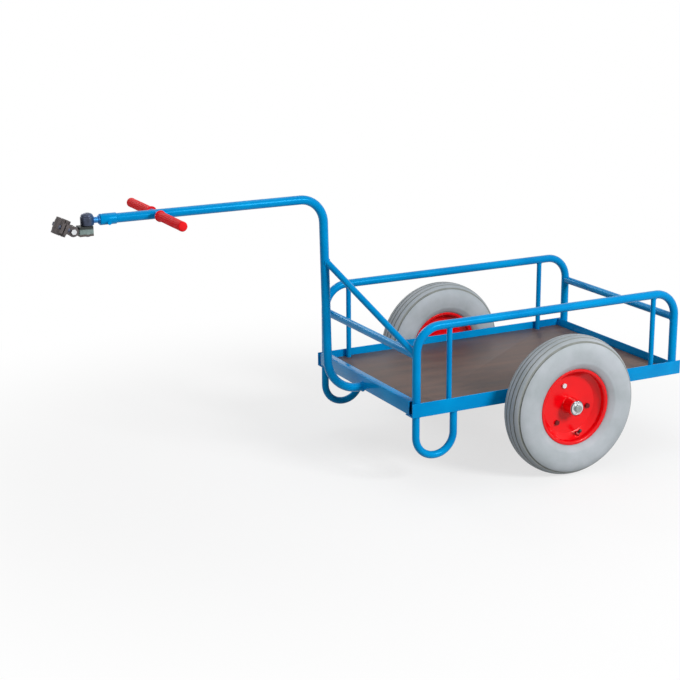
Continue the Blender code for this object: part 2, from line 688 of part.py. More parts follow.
def clamp_jaw(name, sign):
    """One jaw of the clamp; its ears are lower than its ring, and the rear one has the fork."""
    half = CLAMP_HEIGHT / 2

    def along_post(u, v, w):
        return Vector((u - CLAMP_REACH, v, w))

    item = add_object(name, extruded(jaw_outline(sign), along_post, -half, half), CLAMP_IRON, PITCH)
    if sign > 0:
        lug = extruded(eye_outline(LUG_RADIUS, LUG_ROOT - CLAMP_REACH, LUG_HALF_HEIGHT),
                       lambda u, v, w: Vector((u, w, v)), -BLOCK_HALF_WIDTH, BLOCK_HALF_WIDTH)
        add_tool(item, lug, "UNION")
        post_bore = half_ring(sign, SEAT_POST_RADIUS + GAP / 2, CLAMP_SPLIT)
        add_tool(item, extruded(post_bore, along_post, -half - OVERCUT, half + OVERCUT))
        add_tool(item, box((-LUG_SLOT_FLOOR, -LUG_SLOT_HALF, -LUG_RADIUS - OVERCUT),
                           (LUG_RADIUS + OVERCUT, LUG_SLOT_HALF, LUG_RADIUS + OVERCUT)))
        drill(item, 0, 0, BLOCK_HALF_WIDTH + OVERCUT, M8_HOLE, 12)
    reach = CLAMP_RADIUS + OVERCUT
    for side in SIDES.values():
        for low_z, high_z in ((-half - OVERCUT, -EAR_HEIGHT / 2), (EAR_HEIGHT / 2, half + OVERCUT)):
            add_tool(item, side_box(side, (-CLAMP_REACH - reach, -CLAMP_REACH + reach),
                                    (CLAMP_RADIUS + 2 * GAP, EAR_HALF_SPAN + OVERCUT), (low_z, high_z)))
        y = side * CLAMP_BOLT_Y
        add_tool(item, rod_between((-CLAMP_REACH - reach, y, 0), (-CLAMP_REACH + reach, y, 0), M6_HOLE, 8))


def clamp_bolt(name, side):
    grip = 2 * (CLAMP_SPLIT + EAR_THICKNESS + GAP)
    place = Matrix.Translation((-CLAMP_REACH - grip / 2, side * CLAMP_BOLT_Y, 0))
    add_object(name, placed(bolt(grip, M6), place @ Matrix.Rotation(math.pi / 2, 4, "Y")), ZINC, PITCH)


def tyre_arc(end_angle, steps, half_width, rise, fall):
    """Points of the squarish tyre section; angle 0 is the tread, 90 degrees the sidewall."""
    points = []
    for i in range(steps + 1):
        angle = math.radians(end_angle) * (2 * i / steps - 1)
        c = math.cos(angle)
        s = math.sin(angle)
        height = math.copysign((rise if c > 0 else fall) * abs(c) ** TYRE_SQUARENESS, c)
        points.append((TYRE_CENTRE_RADIUS + height, math.copysign(half_width * abs(s) ** TYRE_SQUARENESS, s)))
    return points


def tyre(name, parent):
    """Hollow carcass, open between the beads, that sits in the rim's two flanges."""
    shell = tyre_arc(141, 12, TYRE_HALF_WIDTH, WHEEL_RADIUS - TYRE_CENTRE_RADIUS, TYRE_WALL_DROP)
    lining = tyre_arc(120, 4, 0.0410, 0.0375, 0.048)
    seat = RIM_SEAT_RADIUS + 0.0005
    face = RIM_FLANGE_FACE - 0.0004
    bead = [(RIM_FLANGE_RADIUS + 0.0005, face), (seat + 0.0015, face), (seat, face - 0.0012), (seat, 0.0195)]
    mirrored_bead = [(radius, -s) for radius, s in reversed(bead)]
    profile = shell + bead + lining[::-1] + mirrored_bead
    add_object(name, turned(profile, WHEEL_SIDES, "Y", closed=True), TYRE_RUBBER, parent)


def inner_tube(name, parent):
    """The tube in the tyre, with its valve stem out through the outer rim's cone."""
    ring = tyre_arc(110, 4, 0.0345, 0.0320, 0.040)
    ring += [(0.1125, 0.0200), (0.1035, 0.0160), (0.1035, -0.0160), (0.1125, -0.0200)]
    item = add_object(name, turned(ring, 24, "Y", closed=True), TUBE_RUBBER, parent)
    rubber = circle(0.0056, 10)
    brass = circle(0.0040, 10)
    cap = circle(0.0046, 10)
    stem = stepped_rod([(-0.020, rubber), (0.012, rubber), (0.016, brass), (0.018, cap), (0.030, cap)])
    add_tool(item, placed(stem, valve_matrix()), "UNION")


def valve_matrix():
    """Square to the outer rim's cone at its middle, pointing out of the wheel's open side."""
    radial = Vector((math.cos(VALVE_ANGLE), 0, math.sin(VALVE_ANGLE)))
    outward = Vector((0, -1, 0))
    direction = outward * (RIM_SEAT_RADIUS - RIM_DISC_RADIUS) - radial * RIM_SEAT_DEPTH
    place = radial * (RIM_SEAT_RADIUS + RIM_DISC_RADIUS) / 2 + outward * RIM_SEAT_DEPTH / 2
    return Matrix.Translation(place) @ direction.to_track_quat("Z", "Y").to_matrix().to_4x4()


def rim_bolt_places():
    angles = [RIM_BOLT_FIRST_ANGLE + i * 2 * math.pi / RIM_BOLTS for i in range(RIM_BOLTS)]
    return [(RIM_BOLT_CIRCLE * math.cos(a), RIM_BOLT_CIRCLE * math.sin(a)) for a in angles]


def rim_half(name, parent, outward):
    """Pressed half rim: flange, bead seat, cone and flat disc that mates with its twin."""
    bore = HUB_RADIUS + 0.0004
    fold = 0.0015
    disc = GAP / 2
    open_seat = RIM_SEAT_RADIUS - RIM_SHEET
    tyre_side = [(RIM_FLANGE_RADIUS, RIM_FLANGE_FACE), (RIM_SEAT_RADIUS + fold, RIM_FLANGE_FACE),
                 (RIM_SEAT_RADIUS, RIM_FLANGE_FACE - fold), (RIM_SEAT_RADIUS, RIM_SEAT_DEPTH),
                 (RIM_DISC_RADIUS, disc), (bore, disc)]
    open_side = [(bore, disc + RIM_SHEET), (RIM_DISC_RADIUS - fold, disc + RIM_SHEET),
                 (open_seat, RIM_SEAT_DEPTH + fold), (open_seat, RIM_FLANGE_FACE - fold),
                 (open_seat + RIM_SHEET + fold, RIM_FLANGE_FACE + RIM_SHEET),
                 (RIM_FLANGE_RADIUS, RIM_FLANGE_FACE + RIM_SHEET)]
    profile = [(radius, outward * s) for radius, s in tyre_side + open_side]
    item = add_object(name, turned(profile, WHEEL_SIDES, "Y", closed=True), RIM_PAINT, parent)
    for x, z in rim_bolt_places():
        drill(item, x, z, OVERCUT, M8_HOLE, 8)
    if outward < 0:
        hole = turned([(VALVE_HOLE, -0.006), (VALVE_HOLE, 0.009)], 10)
        add_tool(item, placed(hole, valve_matrix()))


def hub_tube(name, parent):
    bore = BEARING_RADIUS + 2 * GAP
    half = HUB_HALF_LENGTH
    profile = [(bore, -half), (HUB_RADIUS, -half), (HUB_RADIUS, half), (bore, half)]
    add_object(name, turned(profile, 20, "Y", closed=True), RIM_PAINT, parent)


def bearing(name, parent, direction):
    """Sealed ball bearing just inside the hub's end."""
    bore = SPIGOT_RADIUS + 2 * GAP
    far = direction * (HUB_HALF_LENGTH - BEARING_INSET)
    near = direction * (HUB_HALF_LENGTH - BEARING_INSET - BEARING_WIDTH)
    profile = [(bore, near), (BEARING_RADIUS, near), (BEARING_RADIUS, far), (bore, far)]
    add_object(name, turned(profile, 16, "Y", closed=True), BEARING_STEEL, parent)


def rim_bolt(name, parent, x, z):
    add_object(name, crosswise_bolt(x, z, RIM_SHEET + 1.5 * GAP, M8), ZINC, parent)


def axle_washer(name, side):
    start = WHEEL_Y + HUB_HALF_LENGTH + GAP
    end = start + WASHER_THICKNESS
    bore = SPIGOT_RADIUS + 2 * GAP
    profile = [(bore, start), (WASHER_RADIUS, start), (WASHER_RADIUS, end), (bore, end)]
    mirrored = [(radius, side * y) for radius, y in profile]
    add_object(name, turned(mirrored, 20, "Y", closed=True), ZINC, location=(0, 0, WHEEL_RADIUS))


def split_pin(name, side):
    """Pin through the spigot with an eye at the top and its legs bent over below."""
    end_z = -SPLIT_PIN_HALF_LENGTH
    corners = [Vector((0, 0, SPLIT_PIN_HALF_LENGTH)), Vector((0, 0, end_z)),
               Vector((SPLIT_PIN_LEG, 0, end_z - SPLIT_PIN_LEG * 2 / 3))]
    path = bent_path(corners, (SPLIT_PIN_LEG / 2,), 3)
    item = add_object(name, bent_tube(path, SPLIT_PIN_RADIUS, 6), ZINC,
                      location=(0, side * SPLIT_PIN_Y, WHEEL_RADIUS))
    wire = [(SPLIT_PIN_EYE_RADIUS + a, b) for a, b in circle(SPLIT_PIN_WIRE, 5)]
    eye = turned(wire, 10, "Y", closed=True)
    lift = SPLIT_PIN_HALF_LENGTH + SPLIT_PIN_EYE_RADIUS - SPLIT_PIN_WIRE / 4
    add_tool(item, placed(eye, Matrix.Translation((0, 0, lift))), "UNION")


def wheel(side_name, side):
    """One barrow wheel on its bearings; both wheels are the same assembly, turned about."""
    axis = make_empty(side_name + "_wheel_axis", (0, side * WHEEL_Y, WHEEL_RADIUS), DATUM)
    axis.rotation_euler = (0, 0, 0 if side < 0 else math.pi)
    tyre(side_name + "_tyre", axis)
    inner_tube(side_name + "_inner_tube", axis)
    rim_half(side_name + "_outer_rim", axis, -1)
    rim_half(side_name + "_inner_rim", axis, 1)
    hub_tube(side_name + "_hub_tube", axis)
    bearing(side_name + "_outer_bearing", axis, -1)
    bearing(side_name + "_inner_bearing", axis, 1)
    for number, (x, z) in enumerate(rim_bolt_places(), start=1):
        rim_bolt("%s_rim_bolt_%d" % (side_name, number), axis, x, z)


clear_scene()
DATUM = make_empty("ground_datum", (AXLE_X, 0, 0))
ROLL = make_empty("roll_axis", (DRAWBAR_FRONT_X, 0, DRAWBAR_Z), DATUM)
YAW = make_empty("kingpin_axis", (KINGPIN_X, 0, YAW_Z), DATUM)
PITCH = make_empty("pitch_axis", (PITCH_X, 0, PITCH_Z), DATUM)
PITCH.rotation_euler = (0, CLAMP_LEAN, 0)

for side_name, side in SIDES.items():
    side_angle(side_name + "_side_angle", side)
    side_rail(side_name + "_side_rail", side)
    for end_name, x in bar_places(side).items():
        rail_bar("%s_%s_bar" % (side_name, end_name), x, side)
    foot_loop(side_name + "_foot_loop", side)
    brace(side_name + "_brace", side)
    handle_grip(side_name + "_grip", side)
    axle_washer(side_name + "_axle_washer", side)
    split_pin(side_name + "_split_pin", side)
    clamp_bolt(side_name + "_clamp_bolt", side)
    wheel(side_name, side)

front_beam()
rear_angle()
deck_board()
cross_tube("front_cross_tube", POST_FRONT_X)
cross_tube("rear_cross_tube", POST_REAR_X)
axle_beam()
drawbar()
drawbar_sleeve()
tongue_bolt()
handle_bar()
swivel_tongue()
kingpin()
hitch_block()
pitch_pin()
clamp_jaw("rear_clamp_jaw", 1)
clamp_jaw("front_clamp_jaw", -1)
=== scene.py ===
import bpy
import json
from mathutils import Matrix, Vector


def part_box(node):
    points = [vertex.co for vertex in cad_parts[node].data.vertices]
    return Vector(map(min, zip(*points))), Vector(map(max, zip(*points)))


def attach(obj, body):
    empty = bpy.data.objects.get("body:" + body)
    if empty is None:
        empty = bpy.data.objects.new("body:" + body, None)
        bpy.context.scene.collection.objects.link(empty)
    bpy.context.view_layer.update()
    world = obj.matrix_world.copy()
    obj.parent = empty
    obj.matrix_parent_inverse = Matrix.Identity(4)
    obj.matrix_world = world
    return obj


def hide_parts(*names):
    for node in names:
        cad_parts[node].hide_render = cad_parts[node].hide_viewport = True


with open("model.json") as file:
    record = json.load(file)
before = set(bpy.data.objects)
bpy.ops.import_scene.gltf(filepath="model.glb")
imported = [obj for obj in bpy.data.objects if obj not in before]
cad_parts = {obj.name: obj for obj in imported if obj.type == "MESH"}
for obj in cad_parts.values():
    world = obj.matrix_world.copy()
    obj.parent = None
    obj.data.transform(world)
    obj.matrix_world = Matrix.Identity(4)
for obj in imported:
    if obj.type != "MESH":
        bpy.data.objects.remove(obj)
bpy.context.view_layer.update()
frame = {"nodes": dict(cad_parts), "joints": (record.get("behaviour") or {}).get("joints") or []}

import json
import math

import bmesh
import bpy
from mathutils import Matrix, Vector

joints = {joint["name"]: Vector(joint["pos_m"]) for joint in frame["joints"]}
SIDES = {"left": -1, "right": 1}


# Side angles, front beam and rear angle. Hot-rolled 40 x 40 x 3 mm angles and a rectangular tube, sawn
# and welded into a tray that the deck drops into. The whole weldment is powder coated in one colour,
# so its sawn edges are rounded over by the coat.
EDGE_ROUND = 0.0009


def srgb(code):
    """The linear colour of an sRGB hex value."""
    channels = [int(code[i:i + 2], 16) / 255 for i in (0, 2, 4)]
    return (*[c / 12.92 if c <= 0.04045 else ((c + 0.055) / 1.055) ** 2.4 for c in channels], 1.0)


def node(tree, kind, sockets, **settings):
    """One new node; a socket takes a constant or another node's output."""
    made = tree.nodes.new(kind)
    for key, value in settings.items():
        setattr(made, key, value)
    for key, value in sockets.items():
        if isinstance(value, bpy.types.NodeSocket):
            tree.links.new(value, made.inputs[key])
        else:
            made.inputs[key].default_value = value
    return made


def surface(name, **constants):
    """A material, its tree, its shader with the given constants, and its Object coordinates."""
    material = bpy.data.materials.new(name)
    material.use_nodes = True
    tree = material.node_tree
    shader = tree.nodes["Principled BSDF"]
    for socket, value in constants.items():
        shader.inputs[socket.replace("_", " ")].default_value = value
    return material, tree, shader, node(tree, "ShaderNodeTexCoord", {}).outputs["Object"]


def mottle(tree, shader, pattern, dark, pale, sheen=None, spread=(0.0, 1.0)):
    """Let a pattern run the colour between two tones, and the roughness between two levels."""
    tone = node(tree, "ShaderNodeValToRGB", {"Fac": pattern.outputs["Fac"]})
    for stop, place, code in zip(tone.color_ramp.elements, spread, (dark, pale)):
        stop.position = place
        stop.color = srgb(code)
    tree.links.new(tone.outputs["Color"], shader.inputs["Base Color"])
    if sheen:
        level = node(tree, "ShaderNodeMapRange",
                     {"Value": pattern.outputs["Fac"], "To Min": sheen[0], "To Max": sheen[1]})
        tree.links.new(level.outputs["Result"], shader.inputs["Roughness"])
    return tone.outputs["Color"]


def roughen(tree, shader, here, scale, detail, strength, depth):
    """Raise the surface in small grains, at most as deep as the depth in metres."""
    grains = node(tree, "ShaderNodeTexNoise", {"Vector": here, "Scale": scale, "Detail": detail})
    bump = node(tree, "ShaderNodeBump",
                {"Height": grains.outputs["Fac"], "Strength": strength, "Distance": depth})
    tree.links.new(bump.outputs["Normal"], shader.inputs["Normal"])


def put(bm, name, material, body, slot, *stands_for, smooth=35):
    """Make a mesh a finished piece, smooth but for edges that turn by more than the given degrees."""
    bmesh.ops.recalc_face_normals(bm, faces=bm.faces)
    mesh = bpy.data.meshes.new(name)
    bm.to_mesh(mesh)
    bm.free()
    mesh.shade_smooth()
    mesh.set_sharp_from_angle(angle=math.radians(smooth))
    mesh.materials.append(material)
    piece = bpy.data.objects.new(name, mesh)
    bpy.context.scene.collection.objects.link(piece)
    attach(piece, body)
    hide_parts(*stands_for)
    return piece


def round_edges(bm, width, segments=3, sharp=30, among=lambda edge: True):
    """Round off the edges that turn by more than the given degrees."""
    edges = [e for e in bm.edges
             if len(e.link_faces) == 2 and e.calc_face_angle(0) > math.radians(sharp) and among(e)]
    bmesh.ops.bevel(bm, geom=edges, offset=width, affect="EDGES", segments=segments, profile=0.5, material=-1,
                    clamp_overlap=True)
    return bm


def softened(node_name, width, segments=3):
    """A copy of a CAD node with its facets merged and its sharp edges rounded."""
    bm = bmesh.new()
    bm.from_mesh(frame["nodes"][node_name].data)
    bmesh.ops.remove_doubles(bm, verts=bm.verts, dist=0.00002)
    bmesh.ops.dissolve_limit(bm, angle_limit=math.radians(1), verts=bm.verts, edges=bm.edges)
    return round_edges(bm, width, segments)


# Powder coat: baked polyester, glossy, with the faint orange peel of a sprayed powder. The peel's
# bumps are about 3 mm apart, and the gloss varies a little over hand widths. Its shine is tinted,
# as in the photograph, where no reflection on the blue turns white.
powder_coat, tree, shader, here = surface("blue_powder_coat", IOR=1.5, Specular_IOR_Level=0.25,
                                          Specular_Tint=srgb("40D0FF"))
cloud = node(tree, "ShaderNodeTexNoise", {"Vector": here, "Scale": 9.0, "Detail": 3.0})
mottle(tree, shader, cloud, "0084C8", "0094D6", sheen=(0.16, 0.28), spread=(0.35, 0.65))
roughen(tree, shader, here, scale=330.0, detail=1.0, strength=0.25, depth=0.0002)

for part in ("left_side_angle", "right_side_angle", "rear_angle", "front_beam"):
    put(softened(part, EDGE_ROUND), part + "_section", powder_coat, "chassis", "frame_paint", part)


# Side rails, foot loops and drawbar. Welded steel tube bent cold on a mandrel, round all the way
# through each bend. The rails are 24 mm, the drawbar 25 mm and the foot loops 21 mm.
RAIL_RADIUS = 0.012
RAIL_BEND = 0.070
FOOT_RADIUS = 0.0105
FOOT_BEND = 0.0585
DRAWBAR_RADIUS = 0.0125
DRAWBAR_FOOT_BEND = 0.095
DRAWBAR_TOP_BEND = 0.070
UPRIGHT_FOOT_AHEAD = 0.570
UPRIGHT_TOP_AHEAD = 0.5817
TUBE_SIDES = 40


def edges_of(verts):
    """The edges that end at the given vertices."""
    return list({edge for vert in verts for edge in vert.link_edges})


def swept_tube(corners, radius, bends):
    """Push a circle along straight runs and spin it round each corner of the path."""
    bm = bmesh.new()
    points = [Vector(corner) for corner in corners]
    heading = (points[1] - points[0]).normalized()
    start = Matrix.Translation(points[0]) @ heading.to_track_quat("Z", "Y").to_matrix().to_4x4()
    edges = edges_of(bmesh.ops.create_circle(bm, segments=TUBE_SIDES, radius=radius, matrix=start)["verts"])
    here = points[0]
    for i in range(1, len(points)):
        heading = (points[i] - points[i - 1]).normalized()
        ahead = (points[i + 1] - points[i]).normalized() if i + 1 < len(points) else heading
        angle = heading.angle(ahead)
        cut = bends[i - 1] * math.tan(angle / 2) if i + 1 < len(points) else 0.0
        stop = points[i] - heading * cut
        made = bmesh.ops.extrude_edge_only(bm, edges=edges)["geom"]
        verts = [g for g in made if isinstance(g, bmesh.types.BMVert)]
        edges = [g for g in made if isinstance(g, bmesh.types.BMEdge) and all(v in verts for v in g.verts)]
        bmesh.ops.translate(bm, verts=verts, vec=stop - here)
        here = stop
        if cut:
            axis = heading.cross(ahead).normalized()
            centre = stop + axis.cross(heading) * bends[i - 1]
            steps = max(6, round(math.degrees(angle) / 4))
            last = bmesh.ops.spin(bm, geom=edges, cent=centre, axis=axis, angle=angle, steps=steps)["geom_last"]
            edges = [g for g in last if isinstance(g, bmesh.types.BMEdge)]
            here = points[i] + ahead * cut
    bmesh.ops.remove_doubles(bm, verts=bm.verts, dist=0.00001)
    bmesh.ops.holes_fill(bm, edges=[e for e in bm.edges if e.is_boundary], sides=0)
    return bm


def frame_tube(name, stands_for, corners, radius, *bends):
    """A painted tube of the frame, in place of its CAD node."""
    put(swept_tube(corners, radius, bends), name, powder_coat, "chassis", "frame_paint", stands_for)


posts = {}
for side in SIDES:
    low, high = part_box(side + "_side_rail")
    y = (low.y + high.y) / 2
    front_x = low.x + RAIL_RADIUS
    rear_x = high.x - RAIL_RADIUS
    rail_z = high.z - RAIL_RADIUS
    posts[side] = {"front": Vector((front_x, y, low.z)), "rear": Vector((rear_x, y, low.z))}
    path = [(front_x, y, low.z), (front_x, y, rail_z), (rear_x, y, rail_z), (rear_x, y, low.z)]
    frame_tube(side + "_rail_tube", side + "_side_rail", path, RAIL_RADIUS, RAIL_BEND, RAIL_BEND)

feet = []
for side in SIDES:
    low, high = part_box(side + "_foot_loop")
    y = (low.y + high.y) / 2
    ends = [Vector((low.x + FOOT_RADIUS, y, high.z)), Vector((high.x - FOOT_RADIUS, y, high.z))]
    feet += ends
    drop = Vector((0, 0, low.z + FOOT_RADIUS - high.z))
    path = [ends[0], ends[0] + drop, ends[1] + drop, ends[1]]
    frame_tube(side + "_foot_tube", side + "_foot_loop", path, FOOT_RADIUS, FOOT_BEND, FOOT_BEND)

low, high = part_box("drawbar")
drawbar_z = high.z - DRAWBAR_RADIUS
drawbar_foot = Vector((high.x, 0, low.z + DRAWBAR_RADIUS))
axle_x = joints["left_wheel_spin"].x
upright_low = Vector((axle_x - UPRIGHT_FOOT_AHEAD, 0, drawbar_foot.z))
upright_high = Vector((axle_x - UPRIGHT_TOP_AHEAD, 0, drawbar_z))
frame_tube("drawbar_tube", "drawbar", [drawbar_foot, upright_low, upright_high, (low.x, 0, drawbar_z)],
           DRAWBAR_RADIUS, DRAWBAR_FOOT_BEND, DRAWBAR_TOP_BEND)


# Cross tubes, thin bars, braces and handle bar. Straight tubes with their ends coped to the tubes
# that they meet, then welded all round. Their last few millimetres go into the joint.
CROSS_RADIUS = 0.011
BAR_RADIUS = 0.0075
BRACE_RADIUS = 0.009
BRACE_TOP_Z = 0.605
HANDLE_RADIUS = 0.009
HANDLE_REACH = 0.188

crossing_z = {}
for end in ("front", "rear"):
    low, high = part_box(end + "_cross_tube")
    middle = (low + high) / 2
    crossing_z[end] = middle.z
    ends = [(middle.x, posts[side][end].y, middle.z) for side in SIDES]
    frame_tube(end + "_cross_bar", end + "_cross_tube", ends, CROSS_RADIUS)

bars = []
for side in SIDES:
    for end in ("front", "rear"):
        part = side + "_" + end + "_bar"
        low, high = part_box(part)
        foot = Vector(((low.x + high.x) / 2, posts[side][end].y, low.z))
        bars.append(foot)
        frame_tube(part + "_tube", part, [foot, (foot.x, foot.y, rail_z)], BAR_RADIUS)

brace_share = (BRACE_TOP_Z - upright_low.z) / (upright_high.z - upright_low.z)
brace_high = upright_low.lerp(upright_high, brace_share)
brace_low = {side: Vector((*posts[side]["front"].xy, crossing_z["front"])) for side in SIDES}
for side in SIDES:
    frame_tube(side + "_brace_tube", side + "_brace", [brace_high, brace_low[side]], BRACE_RADIUS)

low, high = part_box("handle_bar")
handle = (low + high) / 2
handle_half = Vector((0, HANDLE_REACH, 0))
frame_tube("handle_tube", "handle_bar", [handle - handle_half, handle + handle_half], HANDLE_RADIUS)


# Axle. A 20 mm square bar welded under both side angles, with a round spigot turned on each end for
# the wheel. The bar is coated with the frame and the spigots stay bright steel, greased and grey.
SPIGOT_RADIUS = 0.0097
SPIGOT_ROOT = 0.004
SHOULDER_GAP = 0.0006
AXLE_CHAMFER = 0.0012
CENTRE_RADIUS = 0.0024
CENTRE_FLOOR = 0.0006
CENTRE_DEPTH = 0.002

# Turned steel: rings left by the tool, drawn about 2 mm apart so that they show.
bright_steel, tree, shader, here = surface("turned_bright_steel", Base_Color=srgb("9AA19E"), Metallic=1.0,
                                           Roughness=0.35)
turning = node(tree, "ShaderNodeTexWave", {"Vector": here, "Scale": 160.0, "Distortion": 1.5},
               bands_direction="Y")
bump = node(tree, "ShaderNodeBump", {"Height": turning.outputs["Fac"], "Strength": 0.3, "Distance": 0.0001})
tree.links.new(bump.outputs["Normal"], shader.inputs["Normal"])


def spun(outline, steps, closed=True, facing=1):
    """Spin an outline of (radius, place along the axis) round local Y, or its mirror image for -1."""
    bm = bmesh.new()
    verts = [bm.verts.new((radius, facing * along, 0)) for radius, along in outline]
    loop = verts + verts[:1] if closed else verts
    edges = [bm.edges.new(pair) for pair in zip(loop, loop[1:])]
    bmesh.ops.spin(bm, geom=verts + edges, cent=(0, 0, 0), axis=(0, 1, 0), angle=2 * math.pi, steps=steps,
                   use_merge=True)
    bmesh.ops.remove_doubles(bm, verts=bm.verts, dist=0.00001)
    return bm


def moved(bm, matrix):
    """The same mesh, turned and moved by a matrix."""
    bmesh.ops.transform(bm, matrix=matrix, verts=bm.verts)
    return bm


def block_between(low, high):
    """A plain block between two opposite corners."""
    bm = bmesh.new()
    low, high = Vector(low), Vector(high)
    size = Matrix.Diagonal((*(high - low), 1))
    bmesh.ops.create_cube(bm, size=1.0, matrix=Matrix.Translation((low + high) / 2) @ size)
    return bm


axle_low, axle_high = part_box("axle_beam")
axle = (axle_low + axle_high) / 2
shoulder = abs(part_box("left_hub_tube")[1].y + SHOULDER_GAP)
tip = axle_high.y
bar = block_between((axle_low.x, -shoulder, axle_low.z), (axle_high.x, shoulder, axle_high.z))
put(round_edges(bar, AXLE_CHAMFER), "axle_bar", powder_coat, "chassis", "frame_paint", "axle_beam")
spigot = [(0.0, shoulder - SPIGOT_ROOT), (SPIGOT_RADIUS, shoulder - SPIGOT_ROOT),
          (SPIGOT_RADIUS, tip - AXLE_CHAMFER), (SPIGOT_RADIUS - AXLE_CHAMFER, tip), (CENTRE_RADIUS, tip),
          (CENTRE_FLOOR, tip - CENTRE_DEPTH), (0.0, tip - CENTRE_DEPTH)]
for side, out in SIDES.items():
    put(moved(spun(spigot, 48, closed=False, facing=out), Matrix.Translation(axle)), side + "_spigot",
        bright_steel, "chassis", "zinc", "axle_beam")


# Welds. Every joint of the frame is laid by MIG welder as a bead of about 4 mm with a ripple every
# 2 mm, and is coated over with the frame. Thin tubes get thinner beads, and the drawbar a heavy one.
BEAD_RADIUS = 0.0021
HEAVY_BEAD = 0.0026
BAR_BEAD = 0.0017
THIN_BEAD = 0.0016
LEDGE_BEAD = 0.0014
BEAD_SIDES = 8
RIPPLE = 0.0022
RIPPLE_STEPS = 4
RIPPLE_SWELL = 0.13
HAND_SWELL = 0.06
ANGLE_SHEET = 0.003
FRONT_SEAM_Y = 0.262
AXLE_SEAM_Y = (0.254, 0.286)


def lay_bead(bm, place, axis, radius, meets=None, size=BEAD_RADIUS):
    """Spin a small circle round a tube's end, ripple it, and settle it on the tube that it meets.
    The place is where the axes cross, and meets gives the other tube's direction and radius."""
    axis = Vector(axis).normalized()
    turn = axis.to_track_quat("Z", "Y").to_matrix()
    spot = Matrix.Translation(place) @ turn.to_4x4()
    start = spot @ Matrix.Translation((radius, 0, 0)) @ Matrix.Rotation(math.pi / 2, 4, "X")
    older = set(bm.verts)
    ring = bmesh.ops.create_circle(bm, segments=BEAD_SIDES, radius=size, matrix=start)["verts"]
    ripples = round(2 * math.pi * radius / RIPPLE)
    bmesh.ops.spin(bm, geom=ring + edges_of(ring), cent=place, axis=axis, angle=2 * math.pi,
                   steps=ripples * RIPPLE_STEPS, use_merge=True)
    back = spot.inverted()
    for vert in [v for v in bm.verts if v not in older]:
        local = back @ vert.co
        angle = math.atan2(local.y, local.x)
        # The hand's own unevenness starts at another angle in each bead.
        uneven = HAND_SWELL * math.sin(3 * angle + place[0] * 40)
        swell = 1 + RIPPLE_SWELL * math.cos(ripples * angle) + uneven
        out = radius + (math.hypot(local.x, local.y) - radius) * swell
        lift = local.z * swell
        if meets:
            other, reach = meets
            round_tube = turn @ Vector((radius * math.cos(angle), radius * math.sin(angle), 0))
            along = round_tube.dot(other)
            slant = axis.dot(other)
            square = 1 - slant ** 2
            rest = radius ** 2 - along ** 2 - reach ** 2
            lift -= (math.sqrt(max((along * slant) ** 2 - square * rest, 0)) - along * slant) / square
        vert.co = spot @ Vector((out * math.cos(angle), out * math.sin(angle), lift))


def lay_seam(bm, start, end, size=BEAD_RADIUS):
    """A straight bead, drawn out in steps that swell at each ripple and thin off at both ends."""
    start = Vector(start)
    run = Vector(end) - start
    ripples = round(run.length / RIPPLE)
    steps = ripples * RIPPLE_STEPS
    spot = Matrix.Translation(start) @ run.to_track_quat("Z", "Y").to_matrix().to_4x4()
    older = set(bm.verts)
    ring = bmesh.ops.create_circle(bm, segments=BEAD_SIDES, radius=size, matrix=spot)["verts"]
    bmesh.ops.spin(bm, geom=ring + edges_of(ring), cent=start, axis=run.normalized(), dvec=run / steps, angle=0,
                   steps=steps)
    for vert in [v for v in bm.verts if v not in older]:
        along = (vert.co - start).dot(run) / run.length_squared
        centre = start + run * along
        fade = min(1.0, 12 * min(along, 1 - along) + 0.35)
        swell = fade * (1 + RIPPLE_SWELL * math.cos(2 * math.pi * ripples * along))
        vert.co = centre + (vert.co - centre) * swell
    bmesh.ops.holes_fill(bm, edges=[e for e in bm.edges if e.is_boundary], sides=0)


UP = Vector((0, 0, 1))
ALONG = Vector((1, 0, 0))
ACROSS = Vector((0, 1, 0))
upright = (upright_high - upright_low).normalized()
beam_low, beam_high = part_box("front_beam")
rear_low, rear_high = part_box("rear_angle")
welds = bmesh.new()
for side, out in SIDES.items():
    for end, foot in posts[side].items():
        lay_bead(welds, foot, UP, RAIL_RADIUS)
        crossing = Vector((foot.x, foot.y, crossing_z[end]))
        lay_bead(welds, crossing, (0, out, 0), CROSS_RADIUS, (UP, RAIL_RADIUS))
    slope = brace_low[side] - brace_high
    lay_bead(welds, brace_low[side], slope, BRACE_RADIUS, (UP, RAIL_RADIUS))
    lay_bead(welds, brace_low[side], slope, BRACE_RADIUS, (ACROSS, CROSS_RADIUS))
    lay_bead(welds, brace_high, -slope, BRACE_RADIUS, (upright, DRAWBAR_RADIUS))
    lay_bead(welds, handle, (0, -out, 0), HANDLE_RADIUS, (ALONG, DRAWBAR_RADIUS), THIN_BEAD)
for foot in bars:
    lay_bead(welds, foot, UP, BAR_RADIUS, size=BAR_BEAD)
    lay_bead(welds, (foot.x, foot.y, rail_z), UP, BAR_RADIUS, (ALONG, RAIL_RADIUS), BAR_BEAD)
for top in feet:
    lay_bead(welds, top, UP, FOOT_RADIUS)
lay_bead(welds, drawbar_foot, ALONG, DRAWBAR_RADIUS, size=HEAVY_BEAD)
